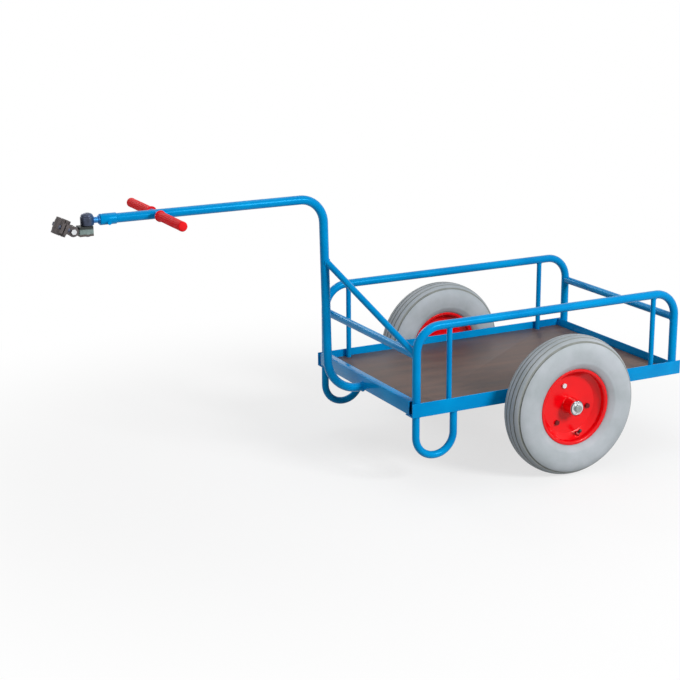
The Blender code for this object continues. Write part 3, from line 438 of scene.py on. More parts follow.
for side, out in SIDES.items():
    near, far = sorted(abs(corner.y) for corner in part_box(side + "_side_angle"))
    ledge_y = out * near
    leg_y = out * (far - ANGLE_SHEET)
    leg_x = rear_high.x - ANGLE_SHEET / 2
    lay_seam(welds, (beam_high.x, out * FRONT_SEAM_Y, beam_low.z), (beam_high.x, ledge_y, beam_low.z))
    lay_seam(welds, (rear_low.x, ledge_y, rear_low.z + ANGLE_SHEET),
             (rear_high.x - 0.004, ledge_y, rear_low.z + ANGLE_SHEET), LEDGE_BEAD)
    lay_seam(welds, (leg_x, leg_y, rear_high.z - 0.002), (leg_x, leg_y, rear_low.z + 0.006))
    for edge in (axle_low.x, axle_high.x):
        lay_seam(welds, *[(edge, out * y, axle_high.z) for y in AXLE_SEAM_Y])
put(welds, "weld_beads", powder_coat, "chassis", "frame_paint", smooth=60)


# Deck. One 15 mm plywood board with a dark brown phenolic film on both faces, sawn and notched so
# that it drops between the uprights onto the ledges. Its sawn edges show the veneers.
BOARD_ROUND = 0.0005

phenolic_film, tree, shader, here = surface("phenolic_film", IOR=1.5, Specular_IOR_Level=0.3)
stretch = node(tree, "ShaderNodeMapping", {"Vector": here, "Scale": (2.0, 9.0, 4.0)})
grain = node(tree, "ShaderNodeTexNoise", {"Vector": stretch.outputs["Vector"], "Scale": 3.0, "Detail": 6.0,
                                          "Roughness": 0.6})
mottle(tree, shader, grain, "4B3C36", "6E564C", sheen=(0.34, 0.55), spread=(0.3, 0.72))
# The film is pressed on a wire mesh, which leaves a grid that grips. Its pitch is drawn at 10 mm,
# about twice the real one, so that it shows.
mesh_x = node(tree, "ShaderNodeTexWave", {"Vector": here, "Scale": 31.0}, bands_direction="X")
mesh_y = node(tree, "ShaderNodeTexWave", {"Vector": here, "Scale": 31.0}, bands_direction="Y")
grid = node(tree, "ShaderNodeMath", {0: mesh_x.outputs["Fac"], 1: mesh_y.outputs["Fac"]}, operation="MULTIPLY")
bump = node(tree, "ShaderNodeBump", {"Height": grid.outputs["Value"], "Strength": 0.35, "Distance": 0.0003})
tree.links.new(bump.outputs["Normal"], shader.inputs["Normal"])

# Birch veneers of about 1.4 mm, their grain laid crosswise in turn, so that every other one is darker.
veneer_edge, tree, shader, here = surface("birch_veneer_edge", Roughness=0.75)
layers = node(tree, "ShaderNodeTexWave", {"Vector": here, "Scale": 112.0, "Distortion": 0.6, "Detail": 2.0},
              bands_direction="Z")
mottle(tree, shader, layers, "6B4A31", "C09A6C")

board = put(softened("deck_board", BOARD_ROUND, 2), "plywood_board", phenolic_film, "chassis", "plywood",
            "deck_board")
board.data.materials.append(veneer_edge)
for polygon in board.data.polygons:
    if abs(polygon.normal.z) < 0.5:
        polygon.material_index = 1


# Grips. Red soft vinyl, dip-moulded with a collar at the mouth and shallow flutes for the palm, and
# pushed onto the bar with soapy water.
GRIP_RADIUS = 0.0125
GRIP_FLUTES = 16
FLUTE_DEPTH = 0.0006
FLUTE_START = 0.06
FLUTE_END = 0.93

# Dipped vinyl: saturated and satin, with pores of about 1.4 mm and a shine tinted by its own colour.
vinyl, tree, shader, here = surface("red_vinyl", IOR=1.5, Specular_IOR_Level=0.25,
                                    Specular_Tint=srgb("FF4A44"))
cloud = node(tree, "ShaderNodeTexNoise", {"Vector": here, "Scale": 60.0, "Detail": 4.0})
mottle(tree, shader, cloud, "E41C22", "FA282E", sheen=(0.6, 0.75))
roughen(tree, shader, here, scale=700.0, detail=1.0, strength=0.2, depth=0.0002)

for side, out in SIDES.items():
    low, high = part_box(side + "_grip")
    mouth, end = sorted((abs(low.y), abs(high.y)))
    length = end - mouth
    outline = [(HANDLE_RADIUS, 0.0), (GRIP_RADIUS + 0.0022, 0.0), (GRIP_RADIUS + 0.0027, 0.0008),
               (GRIP_RADIUS + 0.0024, 0.0028), (GRIP_RADIUS + 0.0008, 0.0046), (GRIP_RADIUS, 0.0070)]
    outline += [(GRIP_RADIUS + 0.0003 * math.sin(math.pi * i / 12), 0.0070 + (length - 0.0150) * i / 12)
                for i in range(1, 12)]
    outline += [(GRIP_RADIUS + 0.0004, length - 0.0080), (GRIP_RADIUS + 0.0002, length - 0.0040),
                (GRIP_RADIUS - 0.0012, length - 0.0015), (GRIP_RADIUS - 0.0035, length - 0.0003), (0.0, length)]
    bm = spun([(radius, mouth + along) for radius, along in outline], 96, closed=False, facing=out)
    for vert in bm.verts:
        along = (abs(vert.co.y) - mouth) / length
        if FLUTE_START < along < FLUTE_END and math.hypot(vert.co.x, vert.co.z) > HANDLE_RADIUS + 0.001:
            angle = math.atan2(vert.co.z, vert.co.x)
            fade = min(1, 8 * (along - FLUTE_START), 8 * (FLUTE_END - along))
            depth = FLUTE_DEPTH * (0.5 - 0.5 * math.cos(GRIP_FLUTES * angle)) * fade
            vert.co.x -= depth * math.cos(angle)
            vert.co.z -= depth * math.sin(angle)
    put(moved(bm, Matrix.Translation((handle.x, 0, handle.z))), side + "_vinyl_grip", vinyl, "chassis",
        "grip_plastic", side + "_grip")


# Bolts. Hexagon bolts and nuts with their corners turned off and rolled threads: M6 through the sleeve,
# coated with the frame, and through the clamp's ears, blued. M8 ones carry the clamp's tilt and hold
# the rims, zinc plated on the clamp and as one bolt of each rim.
M6 = {"radius": 0.003, "flats": 0.010, "head": 0.004, "nut": 0.005, "pitch": 0.001}
M8 = {"radius": 0.004, "flats": 0.013, "head": 0.0053, "nut": 0.0065, "pitch": 0.00125}
BOLT_STUB = 0.0025
THREAD_DEPTH = 0.0005
CORNER_SLOPE = 0.58
TOUCH = 1e-6

# Zinc plate: bright steel-white with a haze in patches of under a centimetre.
zinc_plate, tree, shader, here = surface("bright_zinc_plate", Metallic=1.0)
haze = node(tree, "ShaderNodeTexNoise", {"Vector": here, "Scale": 140.0, "Detail": 4.0})
mottle(tree, shader, haze, "C9CDD0", "E6E8EA", sheen=(0.2, 0.36))


def hexagon(bm, flats, low, high, both_ends):
    """A hexagon prism with its corners turned off at the lower end, or at both."""
    corner = flats / 2 / math.cos(math.pi / 6)
    made = bmesh.ops.create_cone(bm, cap_ends=True, segments=6, radius1=corner, radius2=corner, depth=high - low,
                                 matrix=Matrix.Translation((0, 0, (low + high) / 2)))["verts"]
    bmesh.ops.subdivide_edges(bm, edges=edges_of(made), cuts=7, use_grid_fill=True)
    for vert in [v for v in bm.verts if low - TOUCH <= v.co.z <= high + TOUCH]:
        excess = math.hypot(vert.co.x, vert.co.y) - flats / 2 * 0.97
        if excess > 0 and vert.co.z < low + TOUCH:
            vert.co.z += excess * CORNER_SLOPE
        elif excess > 0 and both_ends and vert.co.z > high - TOUCH:
            vert.co.z -= excess * CORNER_SLOPE


def fastener(matrix, grip, size):
    """A bolt with its nut: the grip runs from local z = 0 up, the head is below it."""
    radius = size["radius"]
    start = grip + size["nut"]
    half_turn = size["pitch"] / 2
    thread = [(0.0, -0.001), (radius, -0.001), (radius, start)]
    thread += [(radius - THREAD_DEPTH * (i % 2), start + half_turn * i)
               for i in range(1, int((BOLT_STUB - THREAD_DEPTH) / half_turn))]
    thread += [(radius - 0.0007, start + BOLT_STUB), (0.0, start + BOLT_STUB)]
    bm = moved(spun(thread, 32, closed=False), Matrix.Rotation(math.pi / 2, 4, "X"))
    hexagon(bm, size["flats"], -size["head"], 0.0, both_ends=False)
    hexagon(bm, size["flats"], grip, start, both_ends=True)
    return moved(bm, matrix)


def crosswise(x, y, z):
    """The place of a bolt that lies across the trailer, its head on the left at the given y."""
    return Matrix.Translation((x, y, z)) @ Matrix.Rotation(-math.pi / 2, 4, "X")


# Drawbar mouth and swivel tongue. A short sleeve is welded over the drawbar's end, and the tongue's
# turned shank rolls inside it, kept in by an M6 bolt. The sleeve is coated with the frame.
SLEEVE_RADIUS = 0.0147
SLEEVE_BORE = 0.0115
SHANK_RADIUS = 0.008
SHANK_LENGTH = 0.060
COLLAR_RADIUS = 0.0115
NECK_RADIUS = 0.0078
BOSS_RADIUS = 0.0175
BOSS_HALF = 0.0115
BOSS_ROUND = 0.0022
BOSS_BORE = 0.0065

low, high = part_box("drawbar_sleeve")
mouth_x = low.x
length = high.x - mouth_x
sleeve = [(SLEEVE_BORE, 0.0), (SLEEVE_RADIUS - 0.0008, 0.0), (SLEEVE_RADIUS - 0.0002, 0.0003),
          (SLEEVE_RADIUS, 0.0009), (SLEEVE_RADIUS, length - 0.0009), (SLEEVE_RADIUS - 0.0002, length - 0.0003),
          (SLEEVE_RADIUS - 0.0008, length), (SLEEVE_BORE, length)]
mouth_place = Matrix.Translation((mouth_x, 0, drawbar_z)) @ Matrix.Rotation(-math.pi / 2, 4, "Z")
put(moved(spun(sleeve, 64), mouth_place), "mouth_sleeve", powder_coat, "chassis", "frame_paint",
    "drawbar_sleeve")
weld = bmesh.new()
lay_bead(weld, Vector((high.x, 0, drawbar_z)), ALONG, DRAWBAR_RADIUS + 0.0006, size=THIN_BEAD)
put(weld, "sleeve_weld", powder_coat, "chassis", "frame_paint", smooth=60)
low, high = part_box("tongue_bolt")
middle = (low + high) / 2
put(fastener(crosswise(middle.x, -SLEEVE_RADIUS, middle.z), 2 * SLEEVE_RADIUS, M6), "sleeve_bolt",
    powder_coat, "chassis", "frame_paint", "tongue_bolt")

# Oxidised machined steel: dark blue-grey from heat treatment in oil, with a satin shine.
blued_steel, tree, shader, here = surface("oil_blued_steel", Metallic=0.75)
stain = node(tree, "ShaderNodeTexNoise", {"Vector": here, "Scale": 90.0, "Detail": 5.0})
oxide = mottle(tree, shader, stain, "30343F", "4C546A", sheen=(0.3, 0.5))
# A blue tint runs from the sleeve over the neck to the near side of the eye and of the kingpin's dome.
# It is overspray on the neck, and painted reflection of the blue tube on the eye and the dome.
yaw = joints["hitch_yaw"]
place_x = node(tree, "ShaderNodeSeparateXYZ", {"Vector": here}).outputs["X"]
blue_spray_and_reflection = node(tree, "ShaderNodeMapRange", {"Value": place_x, "From Min": yaw.x, "From Max": yaw.x + 0.026},
             interpolation_type="SMOOTHSTEP")
tinted = node(tree, "ShaderNodeMix", {0: blue_spray_and_reflection.outputs["Result"], 6: oxide, 7: srgb("2C78B4")},
              data_type="RGBA")
tree.links.new(tinted.outputs[2], shader.inputs["Base Color"])


def fused(pieces, operation="UNION"):
    """One clean mesh out of several, by exact Boolean: the first with each of the others in turn."""
    made = []
    for bm in pieces:
        bmesh.ops.recalc_face_normals(bm, faces=bm.faces)
        mesh = bpy.data.meshes.new("blank")
        bm.to_mesh(mesh)
        bm.free()
        item = bpy.data.objects.new("blank", mesh)
        bpy.context.scene.collection.objects.link(item)
        made.append(item)
    for tool in made[1:]:
        modifier = made[0].modifiers.new("join", "BOOLEAN")
        modifier.operation = operation
        modifier.object = tool
    graph = bpy.context.evaluated_depsgraph_get()
    bm = bmesh.new()
    bm.from_mesh(made[0].evaluated_get(graph).to_mesh())
    for item in made:
        bpy.data.objects.remove(item, do_unlink=True)
    return bm


def dressed(bm, width):
    """A casting with the flats of its Boolean merged and its edges rounded."""
    bmesh.ops.dissolve_limit(bm, angle_limit=math.radians(0.5), verts=bm.verts, edges=bm.edges)
    return round_edges(bm, width, sharp=32)


neck_end = mouth_x - yaw.x - 0.010
neck = [(0.0, -SHANK_LENGTH), (SHANK_RADIUS, -SHANK_LENGTH), (SHANK_RADIUS, 0.0003),
        (COLLAR_RADIUS - 0.0007, 0.0003), (COLLAR_RADIUS, 0.0010), (COLLAR_RADIUS, 0.0028),
        (COLLAR_RADIUS - 0.0007, 0.0035), (0.0090, 0.0042), (NECK_RADIUS, 0.0056), (NECK_RADIUS, neck_end),
        (0.0, neck_end)]
shank = moved(spun(neck, 48, closed=False, facing=-1), mouth_place)
to_z = Matrix.Rotation(math.pi / 2, 4, "X")
corner = BOSS_RADIUS - BOSS_ROUND
boss_outline = [(BOSS_BORE, -BOSS_HALF), (corner, -BOSS_HALF)]
boss_outline += [(corner + BOSS_ROUND * math.sin(a), BOSS_ROUND * (1 - math.cos(a)) - BOSS_HALF)
                 for a in (math.pi / 2 * i / 5 for i in range(1, 6))]
boss_outline += [(radius, -along) for radius, along in reversed(boss_outline)]
boss = moved(spun(boss_outline, 72), Matrix.Translation((yaw.x, 0, drawbar_z)) @ to_z)
put(fused([boss, shank]), "swivel_tongue_forging", blued_steel, "swivel", "dark_steel", "swivel_tongue")


# Kingpin and block. The kingpin is a dome-headed pin kept in by a spring ring under the block, and
# the block is a small casting with a nose at its front, machined where the clamp's fork turns.
DOME_RADIUS = 0.0155
DOME_RIM = 0.001
PIN_RADIUS = 0.006
PIN_CHAMFER = 0.0006
RING_OUTER = 0.0095
RING_INNER = 0.0055
RING_WIRE = 0.0015
RING_ROUND = 0.0003
RUNNING_GAP = 0.0003

low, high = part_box("kingpin")
block_low, block_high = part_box("hitch_block")
seat = drawbar_z + BOSS_HALF + RUNNING_GAP
dome_rise = high.z - seat - DOME_RIM
dome = [(DOME_RADIUS * math.cos(a), seat + DOME_RIM + dome_rise * math.sin(a)) for a in
        (math.pi / 2 * i / 10 for i in range(10, -1, -1))]
dome[0] = (0.0, high.z)
ring_top = block_low.z - RUNNING_GAP
ring_low = ring_top - RING_WIRE
groove = PIN_RADIUS - PIN_CHAMFER
pin = dome + [(DOME_RADIUS, seat), (PIN_RADIUS, seat), (PIN_RADIUS, ring_top), (groove, ring_top),
              (groove, ring_low), (PIN_RADIUS, ring_low), (PIN_RADIUS, low.z + PIN_CHAMFER), (groove, low.z),
              (0.0, low.z)]
wire = [(RING_INNER, ring_top), (RING_OUTER - RING_ROUND, ring_top), (RING_OUTER, ring_top - RING_ROUND),
        (RING_OUTER, ring_low + RING_ROUND), (RING_OUTER - RING_ROUND, ring_low), (RING_INNER, ring_low)]
standing = Matrix.Translation((yaw.x, 0, 0)) @ Matrix.Rotation(-math.pi / 2, 4, "X")
for name, outline, closed in (("domed_kingpin", pin, False), ("kingpin_spring_ring", wire, True)):
    put(moved(spun(outline, 48, closed, facing=-1), standing), name, blued_steel, "turntable", "dark_steel",
        "kingpin")

# Cast iron: sand-cast, in grey-green primer, with a fine sand texture of about 0.7 mm.
sand_casting, tree, shader, here = surface("primed_sand_casting", Metallic=0.2, Roughness=0.6)
stain = node(tree, "ShaderNodeTexNoise", {"Vector": here, "Scale": 120.0, "Detail": 5.0})
shade = mottle(tree, shader, stain, "586864", "8FA3A0")
# Painted shade: nearly black on the top, under the eye, and a brown band along the bottom edge.
height = node(tree, "ShaderNodeSeparateXYZ", {"Vector": here}).outputs["Z"]
level = node(tree, "ShaderNodeMath", {0: stain.outputs["Fac"], 1: 0.004, 2: height}, operation="MULTIPLY_ADD")
for code, start, end in (("4F4642", block_low.z + 0.0090, block_low.z + 0.0055),
                         ("1A2120", block_high.z - 0.0085, block_high.z - 0.0035)):
    painted_shade_band = node(tree, "ShaderNodeMapRange", {"Value": level.outputs["Value"], "From Min": start,
                                              "From Max": end}, interpolation_type="SMOOTHSTEP")
    shade = node(tree, "ShaderNodeMix", {0: painted_shade_band.outputs["Result"], 6: shade, 7: srgb(code)},
                 data_type="RGBA").outputs[2]
tree.links.new(shade, shader.inputs["Base Color"])
roughen(tree, shader, here, scale=1400.0, detail=2.0, strength=0.5, depth=0.0003)

BLOCK_FRONT = 0.0248
BLOCK_HALF_WIDTH = 0.015
BLOCK_ROUND = 0.0012
NOSE_RADIUS = 0.0105
NOSE_HALF_HEIGHT = 0.0085
NOSE_HALF_WIDTH = 0.006


def crosswise_disc(x, z, radius, half_width):
    """A round blank that lies across the trailer."""
    bm = bmesh.new()
    place = Matrix.Translation((x, 0, z)) @ Matrix.Rotation(math.pi / 2, 4, "X")
    bmesh.ops.create_cone(bm, cap_ends=True, segments=64, radius1=radius, radius2=radius, depth=2 * half_width,
                          matrix=place)
    return bm


pitch = joints["hitch_pitch"]
block_x = yaw.x - BLOCK_FRONT
body = block_between((block_x, -BLOCK_HALF_WIDTH, block_low.z),
                     (block_high.x, BLOCK_HALF_WIDTH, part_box("swivel_tongue")[0].z - 0.001))
nose = crosswise_disc(pitch.x, pitch.z, NOSE_RADIUS, NOSE_HALF_WIDTH)
neck = block_between((pitch.x, -NOSE_HALF_WIDTH, pitch.z - NOSE_HALF_HEIGHT),
                     (block_x + 0.002, NOSE_HALF_WIDTH, pitch.z + NOSE_HALF_HEIGHT))
put(dressed(fused([body, nose, neck]), BLOCK_ROUND), "nosed_block_casting", sand_casting, "turntable",
    "cast_iron", "hitch_block")


# Seat-post clamp. Two malleable iron jaws in dark primer, drawn together on the post by an M6 bolt
# at each side. The rear jaw has a fork that tilts about the block's nose on an M8 bolt.
CLAMP_LEAN = math.radians(25)
CLAMP_REACH = 0.0308
LUG_RADIUS = 0.0135
LUG_HALF_HEIGHT = 0.0115
LUG_ENDS = (0.008, -0.004)
SLOT_HALF = 0.0065
SLOT_FLOOR = 0.0115
POST_BORE = 0.0138
CLAMP_RADIUS = 0.019
CLAMP_CORE = 0.006
CLAMP_HALF = 0.021
CLAMP_SPLIT = 0.0015
CLAMP_ROUND = 0.001
EAR = Vector((0.008, 0.033, 0.013))
EAR_BOLT_Y = 0.0255
BEYOND = 0.05

# Malleable iron in dark primer: nearly black, with a cast texture of about 0.8 mm.
malleable, tree, shader, here = surface("dark_malleable_iron", Metallic=0.25, Roughness=0.55)
stain = node(tree, "ShaderNodeTexNoise", {"Vector": here, "Scale": 110.0, "Detail": 5.0})
mottle(tree, shader, stain, "322F30", "6A6262")
roughen(tree, shader, here, scale=1200.0, detail=2.0, strength=0.5, depth=0.0003)

clamp_place = Matrix.Translation(pitch) @ Matrix.Rotation(CLAMP_LEAN, 4, "Y")
post_line = Matrix.Translation((-CLAMP_REACH, 0, 0))
collar = [(CLAMP_CORE, -CLAMP_HALF), (CLAMP_RADIUS, -CLAMP_HALF), (CLAMP_RADIUS, CLAMP_HALF),
          (CLAMP_CORE, CLAMP_HALF)]
for name, facing in (("rear", 1), ("front", -1)):
    near, far = sorted((facing * CLAMP_SPLIT, facing * (CLAMP_SPLIT + EAR.x)))
    ears = moved(block_between((near, -EAR.y, -EAR.z), (far, EAR.y, EAR.z)), post_line)
    shapes = [moved(spun(collar, 96), post_line @ to_z), ears]
    cuts = []
    if facing > 0:
        shapes.append(crosswise_disc(0, 0, LUG_RADIUS, BLOCK_HALF_WIDTH))
        shapes.append(block_between((LUG_ENDS[0] - CLAMP_REACH, -BLOCK_HALF_WIDTH, -LUG_HALF_HEIGHT),
                                    (LUG_ENDS[1], BLOCK_HALF_WIDTH, LUG_HALF_HEIGHT)))
        cuts.append(block_between((-SLOT_FLOOR, -SLOT_HALF, -BEYOND), (BEYOND, SLOT_HALF, BEYOND)))
    bore = bmesh.new()
    bmesh.ops.create_cone(bore, cap_ends=True, segments=96, radius1=POST_BORE, radius2=POST_BORE,
                          depth=2 * BEYOND, matrix=post_line)
    near, far = sorted((facing * CLAMP_SPLIT, -facing * BEYOND))
    other_half = moved(block_between((near, -BEYOND, -BEYOND), (far, BEYOND, BEYOND)), post_line)
    jaw = dressed(fused([fused(shapes), bore, other_half, *cuts], "DIFFERENCE"), CLAMP_ROUND)
    put(moved(jaw, clamp_place), name + "_jaw_casting", malleable, "clamp", "clamp_iron", name + "_clamp_jaw")
cheek = BLOCK_HALF_WIDTH + RUNNING_GAP
put(fastener(clamp_place @ crosswise(0, -cheek, 0), 2 * cheek, M8), "tilting_pin", zinc_plate, "clamp", "zinc",
    "pitch_pin")
for side, out in SIDES.items():
    grip = 2 * (CLAMP_SPLIT + EAR.x + RUNNING_GAP)
    place = clamp_place @ post_line @ Matrix.Translation((-grip / 2, out * EAR_BOLT_Y, 0))
    put(fastener(place @ Matrix.Rotation(math.pi / 2, 4, "Y"), grip, M6), side + "_ear_bolt", blued_steel,
        "clamp", "dark_steel", side + "_clamp_bolt")


# Tyres. Light grey non-marking rubber, 400 x 95 mm, with ribs round the tread, a groove at each
# shoulder and a moulded ring above the bead. The tube's valve comes out through the outer rim.
TYRE_CENTRE = 0.155
TYRE_RISE = 0.045
TYRE_DROP = 0.0546
TYRE_HALF_WIDTH = 0.0473
SQUARENESS = 0.85
TREAD_HALF = 0.0385
TREAD_INSIDE = 0.18
TREAD_GROOVES = (-0.0362, -0.0225, -0.0078, 0.0078, 0.0225, 0.0362)
GROOVE_HALF = 0.0016
SHOULDER_HALF = 0.0023
GROOVE_DEPTH = 0.0030
SIDEWALL_ANGLES = range(52, 142, 4)
SIDE_RING_ANGLE = 117
SIDE_RING_RISE = 0.0010

# Moulded rubber: satin grey in broad faint patches, with a skin of bumps 1.7 mm apart that dulls it.
rubber, tree, shader, here = surface("grey_tyre_rubber", IOR=1.52, Specular_IOR_Level=0.35)
cloud = node(tree, "ShaderNodeTexNoise", {"Vector": here, "Scale": 14.0, "Detail": 5.0, "Roughness": 0.6})
clean = mottle(tree, shader, cloud, "A4ACB0", "B6BCC2", sheen=(0.55, 0.75), spread=(0.3, 0.7))
# The tread is made a little darker than the sidewalls.
across = node(tree, "ShaderNodeSeparateXYZ", {"Vector": here})
offset = node(tree, "ShaderNodeMath", {0: across.outputs["Y"]}, operation="ABSOLUTE")
offset = node(tree, "ShaderNodeMath", {0: offset.outputs["Value"], 1: abs(joints["left_wheel_spin"].y)},
              operation="SUBTRACT")
offset = node(tree, "ShaderNodeMath", {0: offset.outputs["Value"]}, operation="ABSOLUTE")
tread_darkening = node(tree, "ShaderNodeMapRange", {"Value": offset.outputs["Value"], "From Min": 0.030,
                                            "From Max": 0.042, "To Min": 0.93, "To Max": 1.0},
               interpolation_type="SMOOTHSTEP")
darkened_tread = node(tree, "ShaderNodeVectorMath", {0: clean, "Scale": tread_darkening.outputs["Result"]}, operation="SCALE")
tree.links.new(darkened_tread.outputs["Vector"], shader.inputs["Base Color"])
roughen(tree, shader, here, scale=600.0, detail=2.0, strength=0.25, depth=0.0003)

# Road dust packed into the grooves, with painted shade: the same rubber, darker and matt.
groove_dust_and_shade, tree, shader, here = surface("dusty_shaded_groove_rubber", IOR=1.5, Specular_IOR_Level=0.2)
cloud = node(tree, "ShaderNodeTexNoise", {"Vector": here, "Scale": 45.0, "Detail": 6.0})
mottle(tree, shader, cloud, "7A7E7A", "9CA09C", sheen=(0.8, 0.95))
bump = node(tree, "ShaderNodeBump", {"Height": cloud.outputs["Fac"], "Strength": 0.3, "Distance": 0.0004})
tree.links.new(bump.outputs["Normal"], shader.inputs["Normal"])

# Butyl rubber: black and dull, with the fine unevenness of a moulded tube.
butyl, tree, shader, here = surface("black_butyl", Base_Color=srgb("242426"), Roughness=0.55)
roughen(tree, shader, here, scale=500.0, detail=2.0, strength=0.2, depth=0.0002)


def tyre_point(degrees, half_width=TYRE_HALF_WIDTH, rise=TYRE_RISE, drop=TYRE_DROP):
    """A point of the squarish section; 0 degrees is the middle of the tread, 90 the sidewall."""
    c = math.cos(math.radians(degrees))
    s = math.sin(math.radians(degrees))
    height = math.copysign((rise if c > 0 else drop) * abs(c) ** SQUARENESS, c)
    return TYRE_CENTRE + height, math.copysign(half_width * abs(s) ** SQUARENESS, s)


def crown(along):
    """The tread's radius at a place across the tyre."""
    power = 2 / SQUARENESS
    return TYRE_CENTRE + TYRE_RISE * (1 - (abs(along) / TYRE_HALF_WIDTH) ** power) ** (1 / power)


tread = []
for groove in TREAD_GROOVES:
    half = SHOULDER_HALF if groove in (TREAD_GROOVES[0], TREAD_GROOVES[-1]) else GROOVE_HALF
    floor = crown(groove) - GROOVE_DEPTH
    tread += [(crown(groove - half), groove - half), (floor, groove - half * 0.6), (floor, groove + half * 0.6),
              (crown(groove + half), groove + half)]
ribs = []
for (_, first), (_, second) in zip(tread[3::4], tread[4::4]):
    places = [first + (second - first) * i / 5 for i in range(1, 5)]
    ribs += [(crown(place), place) for place in places]
upper = sorted(tread + ribs, key=lambda point: point[1])
sidewall = []
for angle in SIDEWALL_ANGLES:
    radius, along = tyre_point(angle)
    sidewall.append((radius, along + SIDE_RING_RISE * math.exp(-((angle - SIDE_RING_ANGLE) / 4) ** 2)))
bead_in = [(0.1100, 0.0292), (0.1035, 0.0292), (0.1022, 0.0282), (0.1020, 0.0195)]
lining = [tyre_point(a, 0.0410, 0.0375, 0.048) for a in range(120, -121, -12)]
section = [(r, -s) for r, s in reversed(sidewall)] + upper + sidewall + bead_in + lining
section += [(r, -s) for r, s in reversed(bead_in)]
tube = [tyre_point(a, 0.0345, 0.0320, 0.040) for a in range(-110, 111, 20)]
tube += [(0.1120, 0.0200), (0.1040, 0.0160), (0.1040, -0.0160), (0.1120, -0.0200)]
stem = [(0.0, -0.012), (0.0056, -0.012), (0.0056, 0.008), (0.0052, 0.0105), (0.0040, 0.0120), (0.0, 0.0120)]
cap = [(0.0, 0.0118), (0.0036, 0.0118), (0.0036, 0.0150), (0.0044, 0.0152), (0.0046, 0.0158),
       (0.0046, 0.0268), (0.0040, 0.0288), (0.0026, 0.0300), (0.0, 0.0302)]

# Each wheel is the same assembly, made facing the left and turned about for the right.
wheels = {"left": Matrix.Translation(joints["left_wheel_spin"]),
          "right": Matrix.Translation(joints["right_wheel_spin"]) @ Matrix.Rotation(math.pi, 4, "Z")}
VALVE_ANGLE = math.radians(-73)
SEAT_RADIUS = 0.1015
SEAT_DEPTH = 0.0140
DISC_RADIUS = 0.0840
radial = Vector((math.cos(VALVE_ANGLE), 0, math.sin(VALVE_ANGLE)))
valve_axis = (-ACROSS * (SEAT_RADIUS - DISC_RADIUS) - radial * SEAT_DEPTH).normalized()
valve_spot = radial * (SEAT_RADIUS + DISC_RADIUS) / 2 - ACROSS * SEAT_DEPTH / 2
valve_place = Matrix.Translation(valve_spot) @ valve_axis.to_track_quat("Z", "Y").to_matrix().to_4x4()


def on_wheel(side, bm, name, material, slot, *stands_for, smooth=35):
    """Fit a piece, made about the origin and facing the left, to one of the wheels."""
    return put(moved(bm, wheels[side]), side + name, material, side + "_wheel", slot,
               *[side + part for part in stands_for], smooth=smooth)


for side, place in wheels.items():
    tyre = on_wheel(side, spun(section, 144), "_grey_tyre", rubber, "tyre_rubber", "_tyre")
    # The groove faces take the darker rubber: dust and painted shade.
    tyre.data.materials.append(groove_dust_and_shade)
    for polygon in tyre.data.polygons:
        spot = polygon.center - place.translation
        radius = math.hypot(spot.x, spot.z)
        if radius > TREAD_INSIDE and abs(spot.y) < TREAD_HALF + 0.001 and radius < crown(spot.y) - 0.0006:
            polygon.material_index = 1
    on_wheel(side, spun(tube, 72), "_butyl_tube", butyl, "tube_rubber", "_inner_tube")
    for outline, name, finish, kind in ((stem, "_valve_stem", zinc_plate, "zinc"),
                                        (cap, "_valve_cap", butyl, "tube_rubber")):
        valve = moved(spun(outline, 40, closed=False), valve_place @ to_z)
        on_wheel(side, valve, name, finish, kind, "_inner_tube")


# Split rims. Two pressed steel halves in red stove enamel, bolted back to back at the disc. Each has
# a rolled flange, a bead seat and a cone, with rounds of 2 to 3 mm where the press bent the sheet.
SHEET = 0.002
HALF_GAP = 0.00015
FLANGE_RADIUS = 0.1095
FLANGE_FACE = 0.0296
FLANGE_ROLL = 0.0010
PRESS_ROUND = 0.0022
RIM_HOLE = 0.0239
VALVE_HOLE = 0.0072
BOLT_CIRCLE = 0.0615
BOLT_FIRST = math.radians(109)
BOLT_COUNT = 3

# Stove enamel: a hard gloss with a fine orange peel and, like the powder coat, a tinted shine.
enamel, tree, shader, here = surface("red_stove_enamel", IOR=1.5, Specular_Tint=srgb("FFC8C4"))
cloud = node(tree, "ShaderNodeTexNoise", {"Vector": here, "Scale": 16.0, "Detail": 3.0})
mottle(tree, shader, cloud, "DC000E", "F20210", sheen=(0.12, 0.24))
roughen(tree, shader, here, scale=260.0, detail=1.0, strength=0.2, depth=0.0002)

# Bolts 2 and 3 of each rim are dark red with fine pits, and bolt 1 is bright zinc.
dark_red_bolt, tree, shader, here = surface("dark_red_bolt_steel", IOR=1.5, Specular_IOR_Level=0.3)
pits = node(tree, "ShaderNodeTexNoise", {"Vector": here, "Scale": 240.0, "Detail": 5.0})
mottle(tree, shader, pits, "4A0C10", "7E1A1C", sheen=(0.5, 0.75))
bump = node(tree, "ShaderNodeBump", {"Height": pits.outputs["Fac"], "Strength": 0.3, "Distance": 0.0002})
tree.links.new(bump.outputs["Normal"], shader.inputs["Normal"])

flange_roll = [(FLANGE_RADIUS - 0.0009 + FLANGE_ROLL * math.sin(a), FLANGE_FACE + FLANGE_ROLL * (1 - math.cos(a)))
               for a in (math.pi * i / 8 for i in range(9))]
sheet_line = [(0.1030, FLANGE_FACE + SHEET), (0.0995, FLANGE_FACE - 0.0015), (0.0995, SEAT_DEPTH + 0.0015),
              (DISC_RADIUS - 0.0015, SHEET + HALF_GAP), (RIM_HOLE, SHEET + HALF_GAP)]
back_line = [(RIM_HOLE, HALF_GAP), (DISC_RADIUS, HALF_GAP), (SEAT_RADIUS, SEAT_DEPTH),
             (SEAT_RADIUS, FLANGE_FACE - 0.0014), (0.1030, FLANGE_FACE)]


def is_press_bend(edge):
    """Whether an edge lies where the press bent the sheet, between the disc's hole and the flange."""
    return 0.03 < math.hypot(edge.verts[0].co.x, edge.verts[0].co.z) < 0.1045


